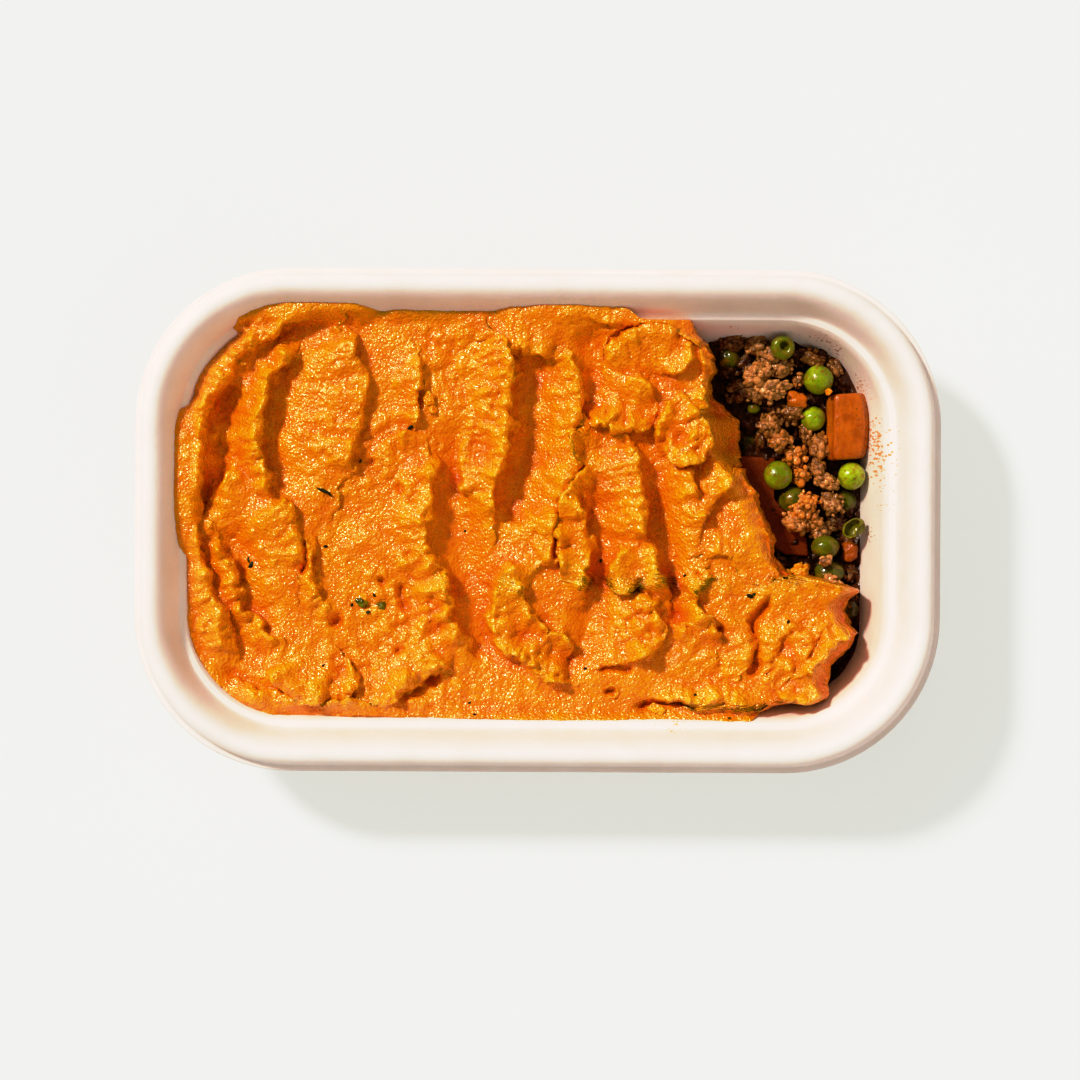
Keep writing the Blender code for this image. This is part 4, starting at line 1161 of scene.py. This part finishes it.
# Herbs and dark flecks on the mash: place, length, width, turn in degrees, leaf or fleck.
HERBS = [
    (-58.8, 7.8, 4.6, 1.1, -24), (-57.2, 7.0, 2.4, 0.7, -50), (-78.5, -12.5, 3.0, 1.7, 40),
    (-79.6, -11.2, 1.8, 1.0, 95), (-58.3, -7.5, 1.3, 0.9, 0), (-58.7, -40.2, 1.1, 0.7, 30),
    (-48.7, 16.0, 1.1, 0.7, 60), (-34.8, 25.5, 2.6, 1.2, 30), (4.2, -1.0, 1.5, 0.9, 60),
    (-20.0, -3.0, 0.9, 0.8, 0), (13.3, -40.7, 1.1, 0.8, 20), (-17.0, -53.5, 1.2, 0.8, 0),
    (-18.5, -50.3, 1.0, 0.7, 40), (17.5, -11.0, 1.2, 0.8, 80), (40.7, -15.0, 1.3, 0.9, 10),
    (58.5, -20.5, 2.2, 1.2, -20), (59.6, -20.0, 1.3, 0.9, 40), (43.5, -47.7, 1.1, 0.8, 0),
    (53.0, -54.1, 1.0, 0.7, 0), (69.0, -27.5, 1.3, 0.9, 70), (-46.5, -25.5, 1.4, 1.0, 20),
    (-44.8, -20.8, 1.2, 0.9, 120), (-51.0, -23.5, 1.1, 0.8, 70),
]
# Threads of sweet potato: thickness and route in plan, with how far each point stands up.
THREADS = [
    (0.42, [(83.2, -28.2, 0.6), (85.2, -29.4, 1.2), (85.9, -31.4, 1.3), (84.4, -33.2, 1.0),
            (81.4, -33.9, 0.3)]),
    (0.34, [(45.4, 24.6, 0.2), (46.8, 23.8, 1.0), (49.0, 24.2, 1.6)]),
    (0.22, [(44.5, 20.6, 0.3), (44.9, 17.5, 1.2), (44.6, 14.5, 1.2), (44.2, 11.0, 0.3)]),
    (0.22, [(40.6, 17.6, 0.3), (41.1, 16.0, 0.9), (40.7, 14.4, 0.3)]),
    (0.40, [(-37.5, 8.0, 0.2), (-36.9, 7.0, 0.9), (-35.6, 5.8, 1.3)]),
    (0.45, [(19.0, -46.2, 0.3), (20.2, -45.2, 0.7), (21.8, -45.8, 0.8), (22.3, -47.4, 0.7),
            (21.0, -48.7, 0.5), (19.4, -48.0, 0.3)]),
]


def tube(route, thickness, sides=7):
    """A thread: rings round a smoothed route, thinning to its two ends."""
    points = smooth_route(route, 6)
    run = np.gradient(points, axis=0)
    run /= np.linalg.norm(run, axis=1)[:, None]
    across = np.cross(run, [0.0, 0.0, 1.0])
    across /= np.linalg.norm(across, axis=1)[:, None] + 1e-9
    up = np.cross(across, run)
    part = np.linspace(0, 1, len(points))
    radius = thickness / 2 * (0.35 + 0.65 * np.sin(math.pi * part))
    turn = 2 * math.pi * np.arange(sides) / sides
    ring = (np.cos(turn)[None, :, None] * across[:, None, :]
            + np.sin(turn)[None, :, None] * up[:, None, :])
    rings = points[:, None, :] + radius[:, None, None] * ring
    count = len(points)
    faces = grid_faces(count, sides, closed=True)
    faces.append(list(range(sides)))
    faces.append(list(range((count - 1) * sides, count * sides)))
    return rings.reshape(-1, 3), faces


def build_small_things(mash_top):
    """Herb leaves and flecks on the mash, threads of it, and the crumbs of mash that fell off."""
    generator = np.random.default_rng(73)
    directions, ball_faces = globe(7, 14)
    parts, tones = [], []
    for x, y, length, width, turn in HERBS:
        taper = 1 - 0.55 * np.abs(directions[:, :1])
        leaf = directions * np.array([length / 2, width / 2, 0.28])
        leaf[:, 1:2] *= taper
        leaf[:, 2] += 0.10 * leaf[:, 0] ** 2 / max(length, 2) + 0.15
        leaf += 0.05 * width * lattice(leaf + x, 0.5, 371)[:, None]
        parts.append((turned(leaf, turn) + np.array([x, y, mash_top(x, y)]), ball_faces))
        tones.append(np.full(len(leaf), generator.uniform(0, 1)))
    herbs = joined("herb_flecks", parts, tone=tones)
    finish_piece(herbs, herb_material(), "pea")

    material = bpy.data.materials["sweet_potato_mash"]
    parts = []
    for thickness, route in THREADS:
        raised = [(x, y, mash_top(x, y) + up) for x, y, up in route]
        parts.append(tube(raised, thickness))
    # The threads sit at the top of the painted-shade ramp, coloured as lit crests.
    threads = joined("mash_threads", parts,
                     standing=[np.full(len(points), 1.0) for points, faces in parts])
    finish_piece(threads, material, "mash")

    parts, stands = [], []
    for x, y, z, radii, turn in (
            (73.2, -13.7, 19.0, (3.1, 2.6, 2.6), 20), (69.6, -14.6, 18.4, (2.2, 1.8, 2.0), 0),
            (76.6, -16.6, 20.0, (1.6, 1.2, 1.2), 30), (80.6, 36.2, 22.2, (1.0, 0.9, 0.8), 0),
            (-26.0, -21.0, mash_top(-26, -21) + 0.4, (1.2, 1.0, 1.0), 0),
            (33.4, -52.0, mash_top(33.4, -52) + 0.4, (2.6, 1.6, 0.9), -10),
            (-30.0, 33.5, mash_top(-30, 33.5) + 0.6, (1.7, 2.4, 1.5), 20),
            (-29.0, 30.0, mash_top(-29, 30) + 0.4, (1.2, 1.4, 1.1), 0)):
        points, faces, _, stand = crumbly(generator, radii, 0.22, 0.5, 1.0)
        parts.append((turned(points, turn) + np.array([x, y, z]), faces))
        # standing places the crumbs on the mash's painted-shade ramp, darker in their creases.
        stands.append(0.45 + 0.4 * stand)
    crumbs = joined("mash_crumbs", parts, standing=stands)
    return finish_piece(crumbs, material, "mash")


def herb_material():
    """Dried herb: very dark green to brown, dull."""
    leaf = Recipe("dried_herb", Specular_IOR_Level=0.4, Roughness=0.5)
    colour = leaf.ramp(leaf.value("tone"), [(0.1, (0.022, 0.020, 0.006)), (0.9, (0.055, 0.060, 0.012))])
    leaf.relief((leaf.noise(0.4, 2), 0.08))
    return leaf.colour(colour)


def gravy_material():
    """Thin gravy over sunken mince: very dark brown, wet."""
    pool = Recipe("dark_gravy", Specular_IOR_Level=0.6)
    colour = pool.ramp(pool.noise(3.5, 4), [(0.35, (0.035, 0.012, 0.003)), (0.7, (0.15, 0.05, 0.014))])
    pool.rough(pool.span(pool.noise(1.5, 2), 0.3, 0.7, 0.10, 0.35))
    pool.relief((pool.noise(0.7, 3), 0.25))
    return pool.colour(colour)


def mince_material():
    """Browned mince: granules of tan to brown, with painted shade in the creases between them, orange
    where glazed.
    """
    meat = Recipe("browned_mince", Specular_IOR_Level=1.0, Subsurface_Weight=0.15,
                  Subsurface_Radius=(1.0, 0.4, 0.2), Subsurface_Scale=0.0008)
    tone = meat.sums("ADD", meat.value("tone"), meat.span(meat.noise(1.3, 3), 0.3, 0.7, -0.22, 0.22))
    flesh = meat.ramp(tone, [(0.05, (0.07, 0.022, 0.007)), (0.45, (0.34, 0.155, 0.040)),
                             (0.85, (0.68, 0.37, 0.12))])
    glaze = meat.sums("MULTIPLY", meat.value("glaze"), meat.span(meat.noise(2.4, 3), 0.3, 0.6, 0.3, 1))
    sauced = meat.blend(glaze, flesh, (0.90, 0.33, 0.015))
    # Painted shade: the creases where granules meet are darkened towards near black.
    painted_crease_shade = meat.span(meat.value("standing"), 0.0, 0.8, 0.75, 0.0)
    colour = meat.blend(painted_crease_shade, sauced, (0.14, 0.035, 0.006))
    meat.rough(meat.span(meat.noise(0.9, 2), 0.35, 0.65, 0.12, 0.34))
    meat.relief((meat.noise(0.9, 3), 0.5), (meat.noise(0.35, 2), 0.16))
    return meat.colour(colour)


def pea_material():
    """Cooked peas: lime to olive skin, near black at the low end as painted shade, with paler veins,
    brown flecks of sauce and a wet gloss.
    """
    skin = Recipe("cooked_pea", Specular_IOR_Level=0.6, Subsurface_Weight=0.35,
                  Subsurface_Radius=(0.5, 1.0, 0.1), Subsurface_Scale=0.0012,
                  Coat_Weight=0.5, Coat_Roughness=0.08)
    tone = skin.sums("ADD", skin.value("tone"), skin.span(skin.noise(3.5, 3), 0.3, 0.7, -0.18, 0.18))
    # Painted shade: the lowest tones run to near black for the peas deep in the mince.
    green = skin.ramp(tone, [(0.05, (0.030, 0.036, 0.003)), (0.4, (0.15, 0.15, 0.005)),
                             (0.85, (0.30, 0.37, 0.008)), (1.0, (0.42, 0.50, 0.016))])
    smear = skin.span(skin.noise(2.4, 4, distortion=0.5), 0.50, 0.66, 0.0, 0.60)
    stained = skin.blend(smear, green, (0.36, 0.20, 0.010))
    fleck = skin.span(skin.noise(0.9, 4), 0.60, 0.66, 0.0, 0.85)
    sauced = skin.blend(fleck, stained, (0.34, 0.11, 0.010))
    colour = skin.blend(skin.span(skin.value("eye"), 0.2, 1.0, 0.0, 0.6), sauced, (0.18, 0.12, 0.02))
    skin.rough(skin.span(skin.noise(0.8, 3), 0.35, 0.7, 0.16, 0.40))
    skin.relief((skin.noise(1.6, 3), 0.16), (skin.noise(0.35, 2), 0.04))
    return skin.colour(colour)


def skin_material():
    """An empty pea skin: thin, olive and half clear, wet."""
    film = Recipe("pea_skin_film", Specular_IOR_Level=0.7, Roughness=0.2, Alpha=0.86,
                  Subsurface_Weight=0.3, Subsurface_Radius=(0.6, 1.0, 0.1),
                  Subsurface_Scale=0.001)
    colour = film.ramp(film.noise(1.6, 3), [(0.3, (0.16, 0.14, 0.008)), (0.7, (0.42, 0.36, 0.03))])
    film.relief((film.noise(0.9, 3), 0.12))
    return film.colour(colour)


def carrot_material():
    """Cooked carrot: orange with redder patches, faint grain along its length, wet, dark specks."""
    root = Recipe("cooked_carrot", Specular_IOR_Level=0.55, Subsurface_Weight=0.4,
                  Subsurface_Radius=(1.0, 0.3, 0.05), Subsurface_Scale=0.0018)
    grain = root.noise(1.1, 3, stretch=(1.0, 0.25, 1.0))
    tone = root.sums("ADD", root.noise(5, 3), root.span(grain, 0.3, 0.7, -0.10, 0.10))
    fresh = root.ramp(tone, [(0.3, (0.44, 0.115, 0.004)), (0.65, (0.62, 0.215, 0.008))])
    # The darkening value pulls the colour towards a deep red brown; on the slice under the mash this is
    # painted shade.
    flesh = root.blend(root.value("steeped"), fresh, (0.29, 0.062, 0.006))
    speck = root.span(root.noise(0.8, 2), 0.70, 0.73, 0.0, 0.8)
    colour = root.blend(speck, flesh, (0.16, 0.05, 0.01))
    root.rough(root.span(root.noise(0.9, 3), 0.35, 0.65, 0.16, 0.38))
    root.relief((grain, 0.10), (root.noise(0.45, 2), 0.10))
    return root.colour(colour)


# ---------------------------------------------------------------- light, floor and camera

CAMERA_ABOVE_RIM = 850
CAMERA_X, CAMERA_Y = 0.7, -5.4
CAMERA_TURN = 0.3
FLOOR_HALF = 3.0
ROOM_STRENGTH = 0.36
# Suns: name, energy, angle across in degrees, and a point on the way to each. Only the first is
# seen in gloss.
SUNS = [("key", 2.4, 7, (-0.52, 0.44, 0.70)), ("key_soft", 0.4, 70, (-0.40, 0.42, 0.80)),
        ("fill", 0.65, 90, (0.55, -0.45, 0.55))]
SUN_COLOUR = (1.0, 0.965, 0.92)
# The picture's tone curve: deeper darks and lifted light tones, as (light, shown).
TONE_CURVE_END = (1.0, 0.93)
TONE_CURVE = [(0.03, 0.008), (0.108, 0.053), (0.278, 0.178), (0.395, 0.335), (0.483, 0.455),
              (0.594, 0.655), (0.683, 0.765), (0.79, 0.845), (0.887, 0.885)]
FRAME_WIDTH = 293


def look_at(item, target):
    """Turn an object's -Z axis towards a point."""
    direction = item.location - target
    item.rotation_euler = direction.to_track_quat("Z", "Y").to_euler()


def build_stage():
    """A pale floor, a key light from the back left and even light all round."""
    floor_mesh = bpy.data.meshes.new("floor")
    side = FLOOR_HALF
    floor_mesh.from_pydata([(-side, -side, 0), (side, -side, 0), (side, side, 0), (-side, side, 0)],
                           [], [(0, 1, 2, 3)])
    floor = bpy.data.objects.new("floor", floor_mesh)
    bpy.context.scene.collection.objects.link(floor)
    pale = Recipe("pale_floor", Roughness=0.9, Specular_IOR_Level=0.1,
                  Base_Color=(0.45, 0.45, 0.44, 1), Emission_Color=(0.93, 0.95, 0.88, 1),
                  Emission_Strength=0.42)
    floor_mesh.materials.append(pale.material)

    for name, energy, angle, place in SUNS:
        key = bpy.data.lights.new(name, "SUN")
        key.energy = energy
        key.angle = math.radians(angle)
        key.color = SUN_COLOUR
        lamp = bpy.data.objects.new(name, key)
        bpy.context.scene.collection.objects.link(lamp)
        lamp.location = place
        lamp.visible_glossy = name == "key"
        look_at(lamp, Vector((0, 0, 0)))

    world = bpy.data.worlds.new("room")
    world.use_nodes = True
    background = world.node_tree.nodes["Background"]
    background.inputs["Color"].default_value = (0.95, 0.97, 1.0, 1.0)
    background.inputs["Strength"].default_value = ROOM_STRENGTH
    bpy.context.scene.world = world
    world.cycles_visibility.glossy = False
    view = bpy.context.scene.view_settings
    view.view_transform = "Standard"
    view.use_curve_mapping = True
    mapping = view.curve_mapping
    tone_curve = mapping.curves[3]
    for level, shown in TONE_CURVE:
        tone_curve.points.new(level, shown)
    tone_curve.points[-1].location = TONE_CURVE_END
    mapping.update()


def build_camera():
    """A camera straight above the tray."""
    lens = bpy.data.cameras.new("camera")
    lens.sensor_width = 36.0
    lens.lens = lens.sensor_width * CAMERA_ABOVE_RIM / FRAME_WIDTH
    camera = bpy.data.objects.new("camera", lens)
    bpy.context.scene.collection.objects.link(camera)
    camera.location = (CAMERA_X * MM, CAMERA_Y * MM, (TRAY_HIGH[2] + CAMERA_ABOVE_RIM) * MM)
    camera.rotation_euler = (0, 0, math.radians(CAMERA_TURN))
    bpy.context.scene.camera = camera


build_tray()
mash_height = build_mash()
build_gravy()
build_lumps()
build_peas(mash_height)
build_hollow_pea()
build_pea_skin()
build_carrot_baton()
build_carrot_slice()
build_carrot_dice()
build_small_things(mash_height)
build_stage()
build_camera()
